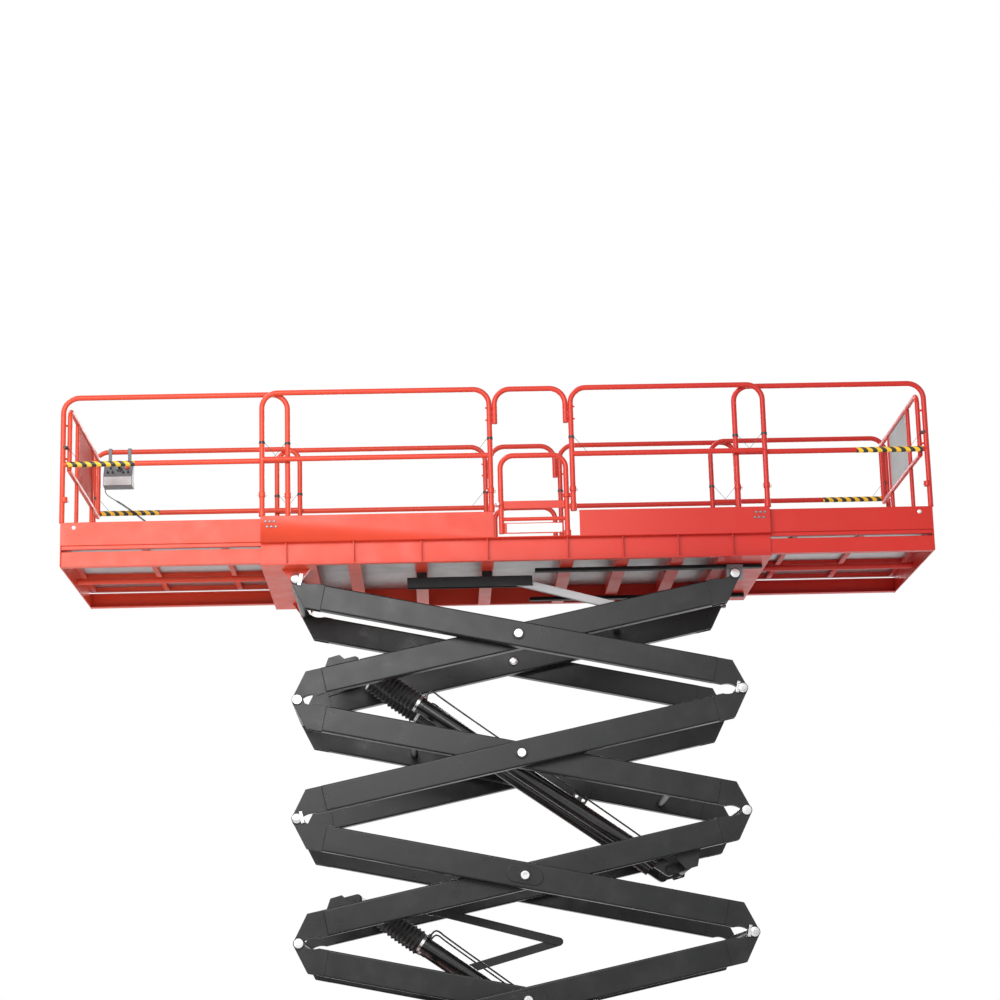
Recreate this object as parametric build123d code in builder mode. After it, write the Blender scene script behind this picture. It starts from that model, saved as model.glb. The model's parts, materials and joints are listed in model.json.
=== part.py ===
"""Rough-terrain scissor lift with two sliding platform extensions.

Frame: +X is the rear of the machine, -Y is the ladder side seen first, +Z is up.
The origin is on the floor under the middle of the machine's outline.  Millimetres.

The stack has five layers of crossed arms.  Outer arms run in the lanes next to the machine's sides,
inner arms in the lanes just inside them.  Layer 1 is the top one.  The left (front) ends carry the pins
L0 to L5 and the right (rear) ends the pins R0 to R5, counted from the platform down.
"""
import os
from math import acos, asin, atan2, cos, degrees, hypot, pi, radians, sin

from build123d import *

# ---------------------------------------------------------------- driving dimensions
# platform
deck_length = 3980
deck_width = 1830
front_reach = 1557            # front extension's end plate beyond the main deck
rear_reach = 1289.5           # rear extension's end plate beyond the main deck
extension_overlap = 350       # length of an extension that stays inside the main deck
rail_tube = 42                # outer diameter of the guard rail tube
rail_inset = 8                # end posts stand this far inside an extension's end plate
rail_corner = 125             # radius of a guard rail's corners

# scissor stack
layers = 5
arm_length = 3580             # pin to pin
arm_angle = 15.1              # rise of an arm's pin line as the machine stands
arm_depth = 200
arm_width = 100
arm_corner = 12               # rounding of an arm's long edges
pin_offset = 106              # an end pin's distance from its arm's centre line
base_pin_z = 820
outer_lane = 700              # centre of the outer arms, from the machine's middle
inner_lane = 588              # centre of the inner arms
end_pin_radius = 30
centre_pin_radius = 40
shaft_radius = 45             # cross shafts between the two sides of a frame
nose_radius = 42
fork_plate = 16
pin_gap = 0.3                 # radial clearance of a pin in its bore
side_gap = 2                  # side clearance between a fork and what it holds

# lift cylinders
cylinder_lane = 300
barrel_radius = 62
bore_radius = 52
rod_radius = 40
barrel_length = 2368          # from the base eye to the gland's face
boot_radius = 82
base_eye = (1115, -250)       # on an arm's pin line: along it, and square to it
rod_eye = (-1275, 219)

# running gear
wheelbase = 2860
tyre_radius = 420
tyre_width = 310
wheel_lane = 995
kingpin_lane = 880
outrigger_spread = 4260       # between the front and the rear jacks
outrigger_lane = 985
pad_height = 250              # underside of a raised outrigger pad

# ---------------------------------------------------------------- places worked out from them
toe_span = front_reach + deck_length + rear_reach
deck_x0 = -toe_span / 2 + front_reach
deck_x1 = deck_x0 + deck_length
centre_x = (deck_x0 + deck_x1) / 2
pitch = arm_length * sin(radians(arm_angle))
half_span = arm_length * cos(radians(arm_angle)) / 2
top_pin_z = base_pin_z + layers * pitch
left_x = centre_x - half_span
right_x = centre_x + half_span
pin_to_flange = 82            # top pins hang this far below the deck's bottom flange
deck_z = top_pin_z + pin_to_flange
body_lean = degrees(asin(2 * pin_offset / arm_length))
half_body = arm_length / 2 * cos(radians(body_lean))
outer_lanes = (outer_lane - arm_width / 2, outer_lane + arm_width / 2)
inner_lanes = (inner_lane - arm_width / 2, inner_lane + arm_width / 2)

os.makedirs("parts", exist_ok=True)


def save(name, part):
    """Label a finished piece and write it as its own STEP file."""
    part.label = name
    export_step(part, f"parts/{name}.step")


def block(x0, x1, y0, y1, z0, z1, mode=Mode.ADD):
    """A rectangular bar or plate between six limits, in the part being built."""
    with Locations(((x0 + x1) / 2, (y0 + y1) / 2, (z0 + z1) / 2)):
        Box(x1 - x0, y1 - y0, z1 - z0, mode=mode)


def round_bar(start, end, radius, mode=Mode.ADD):
    """A straight round bar between two points."""
    direction = Vector(*end) - Vector(*start)
    with BuildSketch(Plane(origin=start, z_dir=direction)) as section:
        Circle(radius)
    extrude(section.sketch, amount=direction.length, mode=mode)


def bent_tube(points, radius, corner):
    """A round tube along straight runs joined by corners of one radius."""
    with BuildLine() as route:
        FilletPolyline(*points, radius=corner)
    start = Plane(origin=route.line @ 0, z_dir=route.line % 0)
    with BuildSketch(start) as section:
        Circle(radius)
    sweep(sections=section.sketch, path=route.line)


def side_plate(points, y0, y1, mode=Mode.ADD):
    """A flat plate with an outline in X and Z, between two depths."""
    with BuildSketch(Plane(origin=(0, max(y0, y1), 0), x_dir=(1, 0, 0), z_dir=(0, -1, 0))) as outline:
        with BuildLine():
            Polyline(*points, close=True)
        make_face()
    extrude(outline.sketch, amount=abs(y1 - y0), mode=mode)


def end_plate(points, x0, x1, mode=Mode.ADD):
    """A flat plate with an outline in Y and Z, between two stations along the machine."""
    with BuildSketch(Plane(origin=(min(x0, x1), 0, 0), x_dir=(0, 1, 0), z_dir=(1, 0, 0))) as outline:
        with BuildLine():
            Polyline(*points, close=True)
        make_face()
    extrude(outline.sketch, amount=abs(x1 - x0), mode=mode)


# ---------------------------------------------------------------- scissor arms
def layer_z(layer):
    """Height of a layer's centre pin."""
    return top_pin_z - pitch * (layer - 0.5)


def on_arm(layer, rising, along, square):
    """World X and Z of a point given along an arm's pin line and square to it, from its centre pin."""
    angle = radians(arm_angle if rising else -arm_angle)
    x = centre_x + along * cos(angle) - square * sin(angle)
    z = layer_z(layer) + along * sin(angle) + square * cos(angle)
    return x, z


def arm_plane(layer, rising, y):
    """Sketch plane on an arm's body: X runs along the body, Y is square to it."""
    angle = radians((arm_angle - body_lean) * (1 if rising else -1))
    return Plane(origin=(centre_x, y, layer_z(layer)), x_dir=(cos(angle), 0, sin(angle)), z_dir=(0, -1, 0))


weld_line = half_body - 235      # where the box section ends and the end plates begin
kink = half_body - 110           # where an end plate's far edge turns up to the nose


def end_face(end, flip):
    """One end's outline: far edge, slope to the nose, scooped edge on the pin's side.

    end is +1 at the right and -1 at the left; flip is -1 on a falling arm and +1 on a rising one.
    """
    def place(u, w):
        return end * u, flip * end * w

    reach_u = kink - half_body
    reach_w = -arm_depth / 2 - pin_offset
    away = hypot(reach_u, reach_w)
    tangent = atan2(reach_w, reach_u) + acos(nose_radius / away)
    touch = (half_body + nose_radius * cos(tangent), pin_offset + nose_radius * sin(tangent))
    half = arm_depth / 2
    with BuildLine() as outline:
        Polyline(place(weld_line, half), place(weld_line, -half), place(kink, -half), place(*touch),
                 place(half_body, pin_offset), place(half_body - 38, half))
        ThreePointArc(place(half_body - 38, half), place(half_body - 95, half - 15),
                      place(half_body - 160, half))
        Line(place(half_body - 160, half), place(weld_line, half))
    make_face(outline.line)
    with Locations(place(half_body, pin_offset)):
        Circle(nose_radius)


def arm_end(layer, rising, y0, y1, side):
    """An end plate of an arm, 'left' or 'right', between two depths."""
    with BuildSketch(arm_plane(layer, rising, max(y0, y1))) as outline:
        end_face(1 if side == "right" else -1, 1 if rising else -1)
    extrude(outline.sketch, amount=abs(y1 - y0))


def arm_box(layer, rising, lane):
    """The rectangular tube of one arm, with rounded edges, between its end plates."""
    angle = radians((arm_angle - body_lean) * (1 if rising else -1))
    start = (centre_x - weld_line * cos(angle), lane, layer_z(layer) - weld_line * sin(angle))
    with BuildSketch(Plane(origin=start, x_dir=(0, 1, 0), z_dir=(cos(angle), 0, sin(angle)))) as section:
        RectangleRounded(arm_width, arm_depth, arm_corner)
    extrude(section.sketch, amount=2 * weld_line)


def pin_place(layer, rising, side):
    """World X and Z of an arm's left or right pin."""
    return on_arm(layer, rising, arm_length / 2 * (1 if side == "right" else -1), 0)


def across(x, z, y0, y1, radius, mode=Mode.ADD):
    """A round bar or bore across the machine."""
    round_bar((x, y0, z), (x, y1, z), radius, mode)


def arm_frame(layer, rising, lanes, left, right):
    """Both sides of one arm frame with its end pins and cross shafts.

    left and right say what each end is: 'fork' takes the next frame's tongue, 'tongue' owns the pin and
    the shaft, 'anchor' is a fork that owns its pin and shaft and straddles a lug.
    """
    head = 12 if lanes is outer_lanes else 8
    for hand in (-1, 1):
        y0, y1 = lanes
        arm_box(layer, rising, hand * (y0 + y1) / 2)
        for side, kind in (("left", left), ("right", right)):
            x, z = pin_place(layer, rising, side)
            if kind == "tongue":
                inset = fork_plate + side_gap
                arm_end(layer, rising, hand * (y0 + inset), hand * (y1 - inset), side)
                across(x, z, hand * (y0 - side_gap), hand * (y1 + side_gap), end_pin_radius)
                across(x, z, hand * (y1 + side_gap), hand * (y1 + head), end_pin_radius + 12)
            else:
                arm_end(layer, rising, hand * y0, hand * (y0 + fork_plate), side)
                arm_end(layer, rising, hand * (y1 - fork_plate), hand * y1, side)
                if kind == "fork":
                    across(x, z, hand * (y0 - 1), hand * (y1 + 1), end_pin_radius + pin_gap, Mode.SUBTRACT)
                else:
                    across(x, z, hand * y0, hand * y1, end_pin_radius)
                    across(x, z, hand * y1, hand * (y1 + head), end_pin_radius + 12)
    for side, kind in (("left", left), ("right", right)):
        x, z = pin_place(layer, rising, side)
        if kind == "tongue":
            across(x, z, side_gap - lanes[0], lanes[0] - side_gap, shaft_radius)
        elif kind == "anchor":
            across(x, z, -lanes[0], lanes[0], shaft_radius)


def cross_tube(layer, rising, along, square, radius):
    """A tube between the two inner arms of a frame."""
    x, z = on_arm(layer, rising, along, square)
    across(x, z, -inner_lanes[0], inner_lanes[0], radius)


lug_tube_radius = 35
lug_tube_reach = 150            # from a cylinder's eye to the tube that carries its lugs
lug_plate = 12
eye_width = 60
eye_pin_radius = 25


def strap(start, end, width, y0, y1, mode=Mode.ADD):
    """A flat plate from one point in X and Z to another, rounded at both ends, between two depths."""
    middle = ((start[0] + end[0]) / 2, (start[1] + end[1]) / 2)
    run = (end[0] - start[0], end[1] - start[1])
    plane = Plane(origin=(middle[0], max(y0, y1), middle[1]), x_dir=(run[0], 0, run[1]), z_dir=(0, -1, 0))
    with BuildSketch(plane) as outline:
        SlotOverall(hypot(*run) + width, width)
    extrude(outline.sketch, amount=abs(y1 - y0), mode=mode)


def cylinder_lugs(layer, eye, outward, pinned):
    """Cross tube, gussets and lug plates that hold the cylinders' eyes on an inner frame.

    Only the rods' eyes are pinned.  At the barrels' eyes the pin shows outside the lug plates alone, because
    the closed linkage is opened there.
    """
    above = 1 if eye[1] > 0 else -1
    tube = (eye[0] + outward * lug_tube_reach, eye[1] + above * 5)
    middle = -tube[0] * pin_offset / (arm_length / 2)
    cross_tube(layer, True, *tube, lug_tube_radius)
    for hand in (-1, 1):
        gusset = [(tube[0] - 130, middle + above * 60), (tube[0] - 45, tube[1] + above * 42),
                  (tube[0] + 45, tube[1] + above * 42), (tube[0] + 130, middle + above * 60)]
        side_plate([on_arm(layer, True, *p) for p in gusset], hand * (inner_lanes[0] - 14),
                   hand * inner_lanes[0])
        for cheek in (-1, 1):
            y = hand * cylinder_lane + cheek * (eye_width / 2 + side_gap + lug_plate / 2)
            strap(on_arm(layer, True, *eye), on_arm(layer, True, *tube), 74,
                  y - lug_plate / 2, y + lug_plate / 2)
        x, z = on_arm(layer, True, *eye)
        inside = 0 if pinned else eye_width / 2 + side_gap
        for cheek in (-1, 1):
            middle_lane = hand * cylinder_lane
            reach = eye_width / 2 + side_gap + lug_plate + 8
            across(x, z, middle_lane + cheek * inside, middle_lane + cheek * reach, eye_pin_radius)


link_root = 750                 # hose links' roots, from the centre pins of layers 3 and 4
link_arm = arm_length / 2 - link_root
link_width = 60
link_tube_radius = 30
link_pin_radius = 16
braces = ((-850, -55), (1200, 40))   # cross tubes of the falling inner frames, along and square
brace_radius = 30


def link_bracket(layer, rising, tube, root):
    """Two plates that carry a hose link's pin from a cross tube."""
    for cheek in (-1, 1):
        y = cheek * (link_width / 2 + 6 + lug_plate / 2)
        strap(on_arm(layer, rising, *tube), on_arm(layer, rising, *root), 60,
              y - lug_plate / 2, y + lug_plate / 2)
    x, z = on_arm(layer, rising, *root)
    across(x, z, -link_width / 2 - 24, link_width / 2 + 24, link_pin_radius)


for layer in range(1, layers + 1):
    rising = layer % 2 == 0
    ends = {1: ("anchor", "tongue"), 2: ("tongue", "fork"), 3: ("fork", "tongue"),
            4: ("tongue", "fork"), 5: ("fork", "anchor")}[layer]
    with BuildPart() as outer_arm:
        arm_frame(layer, rising, outer_lanes, *ends)
        for hand in (-1, 1):
            x, z = centre_x, layer_z(layer)
            across(x, z, hand * (inner_lanes[0] - 8), hand * outer_lanes[0], centre_pin_radius)
            across(x, z, hand * outer_lanes[1], hand * (outer_lanes[1] + 14), centre_pin_radius + 6)
            if layer >= 3:
                pad_plane = arm_plane(layer, rising, hand * outer_lanes[1] + (10 if hand > 0 else 0))
                with BuildSketch(pad_plane) as pad:
                    SlotOverall(280, 130)
                extrude(pad.sketch, amount=10)
    save(f"outer_arm_{layer}", outer_arm.part)

for layer in range(1, layers + 1):
    rising = layer % 2 == 1
    ends = {1: ("tongue", "anchor"), 2: ("fork", "tongue"), 3: ("tongue", "fork"),
            4: ("fork", "tongue"), 5: ("anchor", "fork")}[layer]
    with BuildPart() as inner_arm:
        arm_frame(layer, rising, inner_lanes, *ends)
        for hand in (-1, 1):
            x, z = centre_x, layer_z(layer)
            across(x, z, hand * inner_lanes[1], hand * (inner_lanes[1] + 10), centre_pin_radius + 30)
            across(x, z, hand * (inner_lanes[0] - 1), hand * (inner_lanes[1] + 11),
                   centre_pin_radius + pin_gap, Mode.SUBTRACT)
        if layer in (1, 3):
            cylinder_lugs(layer, rod_eye, -1, True)
        if layer in (3, 5):
            cylinder_lugs(layer, base_eye, 1, False)
        if layer == 1:
            cross_tube(layer, rising, arm_length / 4, 0, link_tube_radius)
        if layer in (2, 4):
            for brace in braces:
                cross_tube(layer, rising, *brace, brace_radius)
        if layer == 3:
            cross_tube(layer, rising, -600, 100, lug_tube_radius)
            link_bracket(layer, rising, (-600, 100), (-link_root, 0))
        if layer == 4:
            link_bracket(layer, rising, braces[0], (-link_root, 0))
    save(f"inner_arm_{layer}", inner_arm.part)

# ---------------------------------------------------------------- lift cylinders
rod_extra = 2340                # rod from its eye to the piston's end
cap_start = 112                 # from the base eye to the barrel's cap
boot_length = 475
gland_length = 60
boot_start = 120                # from the rod's eye to the boot's closed end

for name, layer in (("lower", 5), ("upper", 3)):
    foot = on_arm(layer, True, *base_eye)
    head = on_arm(layer - 2, True, *rod_eye)
    run = Vector(head[0] - foot[0], 0, head[1] - foot[1])
    aim = run.normalized()

    def along_cylinder(distance, hand):
        """A point on a cylinder's centre line, measured from its base eye."""
        return (foot[0] + aim.X * distance, hand * cylinder_lane, foot[1] + aim.Z * distance)

    def tube_between(start, end, hand, outer, inner):
        """A stretch of tube about a cylinder's centre line."""
        with BuildSketch(Plane(origin=along_cylinder(start, hand), z_dir=aim)) as ring:
            Circle(outer)
            if inner:
                Circle(inner, mode=Mode.SUBTRACT)
        extrude(ring.sketch, amount=end - start)

    eye_reach = eye_width / 2
    with BuildPart() as barrels:
        for hand in (-1, 1):
            neck = along_cylinder(cap_start + 10, hand)
            strap(foot, (neck[0], neck[2]), 96,
                  hand * cylinder_lane - eye_reach, hand * cylinder_lane + eye_reach)
            tube_between(cap_start, cap_start + 45, hand, barrel_radius + 4, 0)
            tube_between(cap_start + 45, barrel_length - gland_length, hand, barrel_radius, bore_radius)
            tube_between(barrel_length - gland_length, barrel_length, hand, barrel_radius + 4,
                         rod_radius + pin_gap)
    save(f"barrels_{name}", barrels.part)

    eye_to_eye = run.length
    with BuildPart() as rods:
        for hand in (-1, 1):
            neck = along_cylinder(eye_to_eye - 85, hand)
            strap(head, (neck[0], neck[2]), 70,
                  hand * cylinder_lane - eye_reach, hand * cylinder_lane + eye_reach)
            tube_between(eye_to_eye - rod_extra, eye_to_eye - 78, hand, rod_radius, 0)
            tube_between(eye_to_eye - rod_extra, eye_to_eye - rod_extra + 60, hand, bore_radius - pin_gap, 0)
            across(*head, hand * cylinder_lane - eye_reach - 1, hand * cylinder_lane + eye_reach + 1,
                   eye_pin_radius + pin_gap, Mode.SUBTRACT)
    save(f"rods_{name}", rods.part)

    with BuildPart() as boots:
        for hand in (-1, 1):
            boot_end = eye_to_eye - boot_start
            tube_between(boot_end - boot_length, boot_end - 12, hand, boot_radius, barrel_radius + 8)
            tube_between(boot_end - 12, boot_end, hand, boot_radius, rod_radius)
    save(f"boots_{name}", boots.part)

# ---------------------------------------------------------------- hose links
knee = (centre_x + (link_arm - link_root) * cos(radians(arm_angle)), layer_z(3) - pitch / 2)
link_hub = 44
roots = {"upper": on_arm(3, True, -link_root, 0), "lower": on_arm(4, False, -link_root, 0)}

for name, root in roots.items():
    fork_end = name == "upper"
    with BuildPart() as link:
        across(*root, -link_width / 2, link_width / 2, link_hub)
        if fork_end:
            strap(root, knee, 64, -link_width / 2, -link_width / 2 + 10)
            strap(root, knee, 64, link_width / 2 - 10, link_width / 2)
            across(*knee, -link_width / 2, link_width / 2, link_pin_radius)
        else:
            strap(root, knee, 64, -link_width / 2 + 12, link_width / 2 - 12)
            across(*knee, -link_width / 2 + 12, link_width / 2 - 12, link_pin_radius + pin_gap,
                   Mode.SUBTRACT)
        across(*root, -link_width / 2 - 1, link_width / 2 + 1, link_pin_radius + pin_gap, Mode.SUBTRACT)
    save(f"hose_link_{name}", link.part)

top_link_lane = -480
top_link_foot = on_arm(1, True, arm_length / 4, 0)
top_link_head = (centre_x, top_pin_z)
with BuildPart() as top_link:
    across(*top_link_foot, top_link_lane - 30, top_link_lane + 30, 50)
    strap(top_link_foot, top_link_head, 60, top_link_lane - 20, top_link_lane + 20)
    across(*top_link_head, top_link_lane - 34, top_link_lane + 34, 28)
    across(*top_link_foot, top_link_lane - 31, top_link_lane + 31, link_tube_radius + pin_gap, Mode.SUBTRACT)
save("hose_link_top", top_link.part)

# ---------------------------------------------------------------- slide rails and shoes
flange_gap = 0.3                # running clearance of a shoe on its rail
rail_reach = 50                 # from a sliding pin to the face of its rail
rail_flange = 12
rail_web = 16
rail_height = pin_to_flange - rail_reach
shoe_length = 130
slide_start = centre_x + 150
slide_end = centre_x + 1950


def rail_bar(lane, pin_z, out):
    """A T-shaped rail over (out = 1) or under (out = -1) a line of sliding pins."""
    for hand in (-1, 1):
        y = hand * lane
        z0, z1 = sorted((pin_z + out * rail_reach, pin_z + out * (rail_reach + rail_flange)))
        block(slide_start, slide_end, y - 30, y + 30, z0, z1)
        z2, z3 = sorted((pin_z + out * (rail_reach + rail_flange), pin_z + out * (rail_reach + rail_height)))
        block(slide_start, slide_end, y - rail_web / 2, y + rail_web / 2, z2, z3)


def slide_shoes(lane, pin_z, out):
    """Shoes that hang on the sliding pins and clasp the rail's flange."""
    inner = rail_reach - flange_gap
    lip = rail_reach + rail_flange + flange_gap
    half = [(0, -40), (30, -40), (30, 44), (43, 44), (43, lip + 12), (13, lip + 12), (13, lip),
            (30 + flange_gap, lip), (30 + flange_gap, inner), (0, inner)]
    for hand in (-1, 1):
        y = hand * lane
        outline = [(y + a, pin_z + out * b) for a, b in half]
        outline += [(y - a, pin_z + out * b) for a, b in half[-2:0:-1]]
        end_plate(outline, right_x - shoe_length / 2, right_x + shoe_length / 2)
        across(right_x, pin_z, y - 45, y + 45, end_pin_radius + pin_gap, Mode.SUBTRACT)


with BuildPart() as top_shoes:
    slide_shoes(inner_lane, top_pin_z, 1)
save("top_shoes", top_shoes.part)

with BuildPart() as base_shoes:
    slide_shoes(outer_lane, base_pin_z, -1)
save("base_shoes", base_shoes.part)

# ---------------------------------------------------------------- platform
plate = 8
channel_web = 860               # inner face of the side channel's web
channel_top = 188               # side channel's height, over the deck's bottom flange
toe_face = deck_width / 2         # outer face of the toe boards and of the side channels' flanges
toe_top = 390
toe_plate = 6
toe_lip = 42
floor_z = 150
tie_plate = 16
member_reach = 780
gate_gap = (-40, 630)           # the toe board is open here
rib_stations = (-1658, -1134, -610, -93, 530, 963, 1396, 1822)
member_stations = (-1480, -1134, -610, -93, 530, 963, 1396, 1760)
end_tie = 330
guide_radius = 25
guide_z = 86
rail_radius = rail_tube / 2
rail_lane = 894
top_rail = 1389                 # guard rail heights, over the deck's bottom flange
mid_rail = 850
post_stations = ((deck_x0 + 12, -55), (588, deck_x1 - 12))
gate_legs = (20, 535)
link_track = 39                 # half height of the top hose link's track

with BuildPart() as platform_frame:
    for hand in (-1, 1):
        channel = [(channel_web, 0), (911, 0), (911, plate), (channel_web + plate, plate),
                   (channel_web + plate, channel_top - plate), (toe_face, channel_top - plate),
                   (toe_face, channel_top), (channel_web, channel_top)]
        end_plate([(hand * y, deck_z + z) for y, z in channel], deck_x0, deck_x1)
        toe = [(toe_face - toe_plate, channel_top), (toe_face, channel_top), (toe_face, toe_top),
               (toe_face - toe_lip, toe_top), (toe_face - toe_lip, toe_top - toe_plate),
               (toe_face - toe_plate, toe_top - toe_plate)]
        for x0, x1 in ((deck_x0, gate_gap[0]), (gate_gap[1], deck_x1)):
            end_plate([(hand * y, deck_z + z) for y, z in toe], x0, x1)
        for x in rib_stations:
            y0, y1 = sorted((hand * (channel_web + plate), hand * 905))
            block(x - 4, x + 4, y0, y1, deck_z + plate, deck_z + channel_top - plate)
        # lug under the front end, held by the top arms' front pins
        y0, y1 = sorted((hand * (outer_lane - 32), hand * (outer_lane + 32)))
        lug = [(left_x - 46, top_pin_z), (left_x + 46, top_pin_z),
               (left_x + 110, deck_z), (left_x - 110, deck_z)]
        side_plate(lug, y0, y1)
        across(left_x, top_pin_z, y0, y1, 46)
        across(left_x, top_pin_z, y0 - 1, y1 + 1, end_pin_radius + pin_gap, Mode.SUBTRACT)
        # wear pads that carry the extensions' lower beams
        for x in (deck_x0 + 90, deck_x0 + 300, deck_x1 - 300, deck_x1 - 90):
            y0, y1 = sorted((hand * 796, hand * 848))
            block(x - 40, x + 40, y0, y1, deck_z + tie_plate, deck_z + 27.7)
        socket_lane = hand * rail_lane
        with BuildSketch(Plane.XY.offset(deck_z + channel_top)) as socket:
            with Locations((gate_legs[1], socket_lane)):
                Circle(rail_radius + 7)
                Circle(rail_radius + pin_gap, mode=Mode.SUBTRACT)
        extrude(socket.sketch, amount=45)
    for x0, x1 in ((deck_x0, deck_x0 + end_tie), (deck_x1 - end_tie, deck_x1)):
        block(x0, x1, -channel_web, channel_web, deck_z, deck_z + tie_plate)
    for x in member_stations:
        block(x - 50, x + 50, -channel_web, channel_web, deck_z, deck_z + tie_plate)
        block(x - 30, x + 30, -member_reach, member_reach, deck_z + tie_plate, deck_z + floor_z)
        round_bar((x - 31, 0, deck_z + guide_z), (x + 31, 0, deck_z + guide_z), guide_radius + 6,
                  Mode.SUBTRACT)
save("platform_frame", platform_frame.part)

with BuildPart() as platform_floor:
    block(deck_x0, deck_x1, -channel_web + 0.5, channel_web - 0.5,
          deck_z + floor_z, deck_z + floor_z + plate)
    for hand in (-1, 1):
        for x in (deck_x0 + 90, deck_x0 + 300, deck_x1 - 300, deck_x1 - 90):
            y0, y1 = sorted((hand * 796, hand * 848))
            block(x - 40, x + 40, y0, y1, deck_z + 144.3, deck_z + floor_z)
save("platform_floor", platform_floor.part)

with BuildPart() as slide_rails:
    rail_bar(inner_lane, top_pin_z, 1)
    # track for the roller of the top hose link
    track = [(44, 39), (44, -39), (24, -39), (24, -31), (36, -31), (36, 31),
             (-36, 31), (-36, -31), (-24, -31), (-24, -39), (-44, -39), (-44, 39)]
    end_plate([(top_link_lane + y, top_pin_z + z) for y, z in track], centre_x - 860, centre_x + 130)
    for x in member_stations[2:4]:
        block(x - 40, x + 40, top_link_lane - 30, top_link_lane + 30, top_pin_z + link_track, deck_z)
save("platform_slides", slide_rails.part)


def guard_loop(x0, x1, y, base, top, corner=rail_corner):
    """A guard rail bent from one tube: post, top rail and post."""
    bent_tube([(x0, y, base), (x0, y, top), (x1, y, top), (x1, y, base)], rail_radius, corner)


def collar(x, y, z, height=40):
    """A sleeve round a post, where it folds."""
    with BuildSketch(Plane.XY.offset(z)) as ring:
        with Locations((x, y)):
            Circle(rail_radius + 5)
    extrude(ring.sketch, amount=height)


with BuildPart() as platform_rails:
    for hand in (-1, 1):
        y = hand * rail_lane
        for x0, x1 in post_stations:
            guard_loop(x0, x1, y, deck_z + toe_top, deck_z + top_rail)
            round_bar((x0, y, deck_z + mid_rail), (x1, y, deck_z + mid_rail), rail_radius)
            for x in (x0, x1):
                collar(x, y, deck_z + toe_top, 60)
                collar(x, y, deck_z + 545)
        # header over the gate, bolted to the posts beside it
        arch = (post_stations[0][1] + rail_tube + 0.5, post_stations[1][0] - rail_tube - 0.5)
        guard_loop(*arch, y, deck_z + 1105, deck_z + top_rail - 2)
        for z in (1135, 1235):
            for x0, x1 in ((post_stations[0][1] - 32, arch[0]), (arch[1], post_stations[1][0] + 32)):
                round_bar((x0, y, deck_z + z), (x1, y, deck_z + z), 7)
        # upper hinge ring of the gate
        y0, y1 = sorted((y - 12, y + 12))
        with BuildSketch(Plane.XY.offset(deck_z + 500)) as ring:
            with Locations(((gate_legs[1] + post_stations[1][0]) / 2, y)):
                Rectangle(post_stations[1][0] - gate_legs[1], 24)
            with Locations((gate_legs[1], y)):
                Circle(rail_radius + 7)
                Circle(rail_radius + pin_gap, mode=Mode.SUBTRACT)
        extrude(ring.sketch, amount=30)
save("platform_rails", platform_rails.part)

for name, hand in (("near", -1), ("far", 1)):
    y = hand * rail_lane
    with BuildPart() as gate:
        gate_base = 214
        bent_tube([(gate_legs[0], y, deck_z + gate_base), (gate_legs[0], y, deck_z + mid_rail - 8),
                   (gate_legs[1], y, deck_z + mid_rail - 8), (gate_legs[1], y, deck_z + 192)],
                  rail_radius, 105)
        round_bar((gate_legs[0], y, deck_z + 330), (gate_legs[1], y, deck_z + 330), 15)
        block(gate_legs[0], gate_legs[1], y - 5, y + 5, deck_z + 415, deck_z + 475)
        block(gate_legs[0], gate_legs[1] - rail_radius - 12, y - 2, y + 2, deck_z + gate_base, deck_z + 300)
        block(gate_legs[0] - 46, gate_legs[0], y - 8, y + 8, deck_z + 430, deck_z + 460)
    save(f"gate_{name}", gate.part)

# ---------------------------------------------------------------- sliding extensions
beam = (790, 854, 28, 144)      # lower beam: inner and outer faces, bottom and top
ext_floor = 200
ext_plate = 5
ext_toe = (861, 867, 378)
ext_lane = 846
rib_height = 36
end_top = 1305                  # rails of the end guards
end_mid = 810
end_post_lane = 410
gland_reach = 1120              # from the front end plate to the gland of the controls' cord
gland_lane = 778
end_side = 806
end_tube = 19
end_guard_inset = 46
leg_setback = {"front": 210, "rear": 234}   # inner posts stand this far inside the main deck's end

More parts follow.
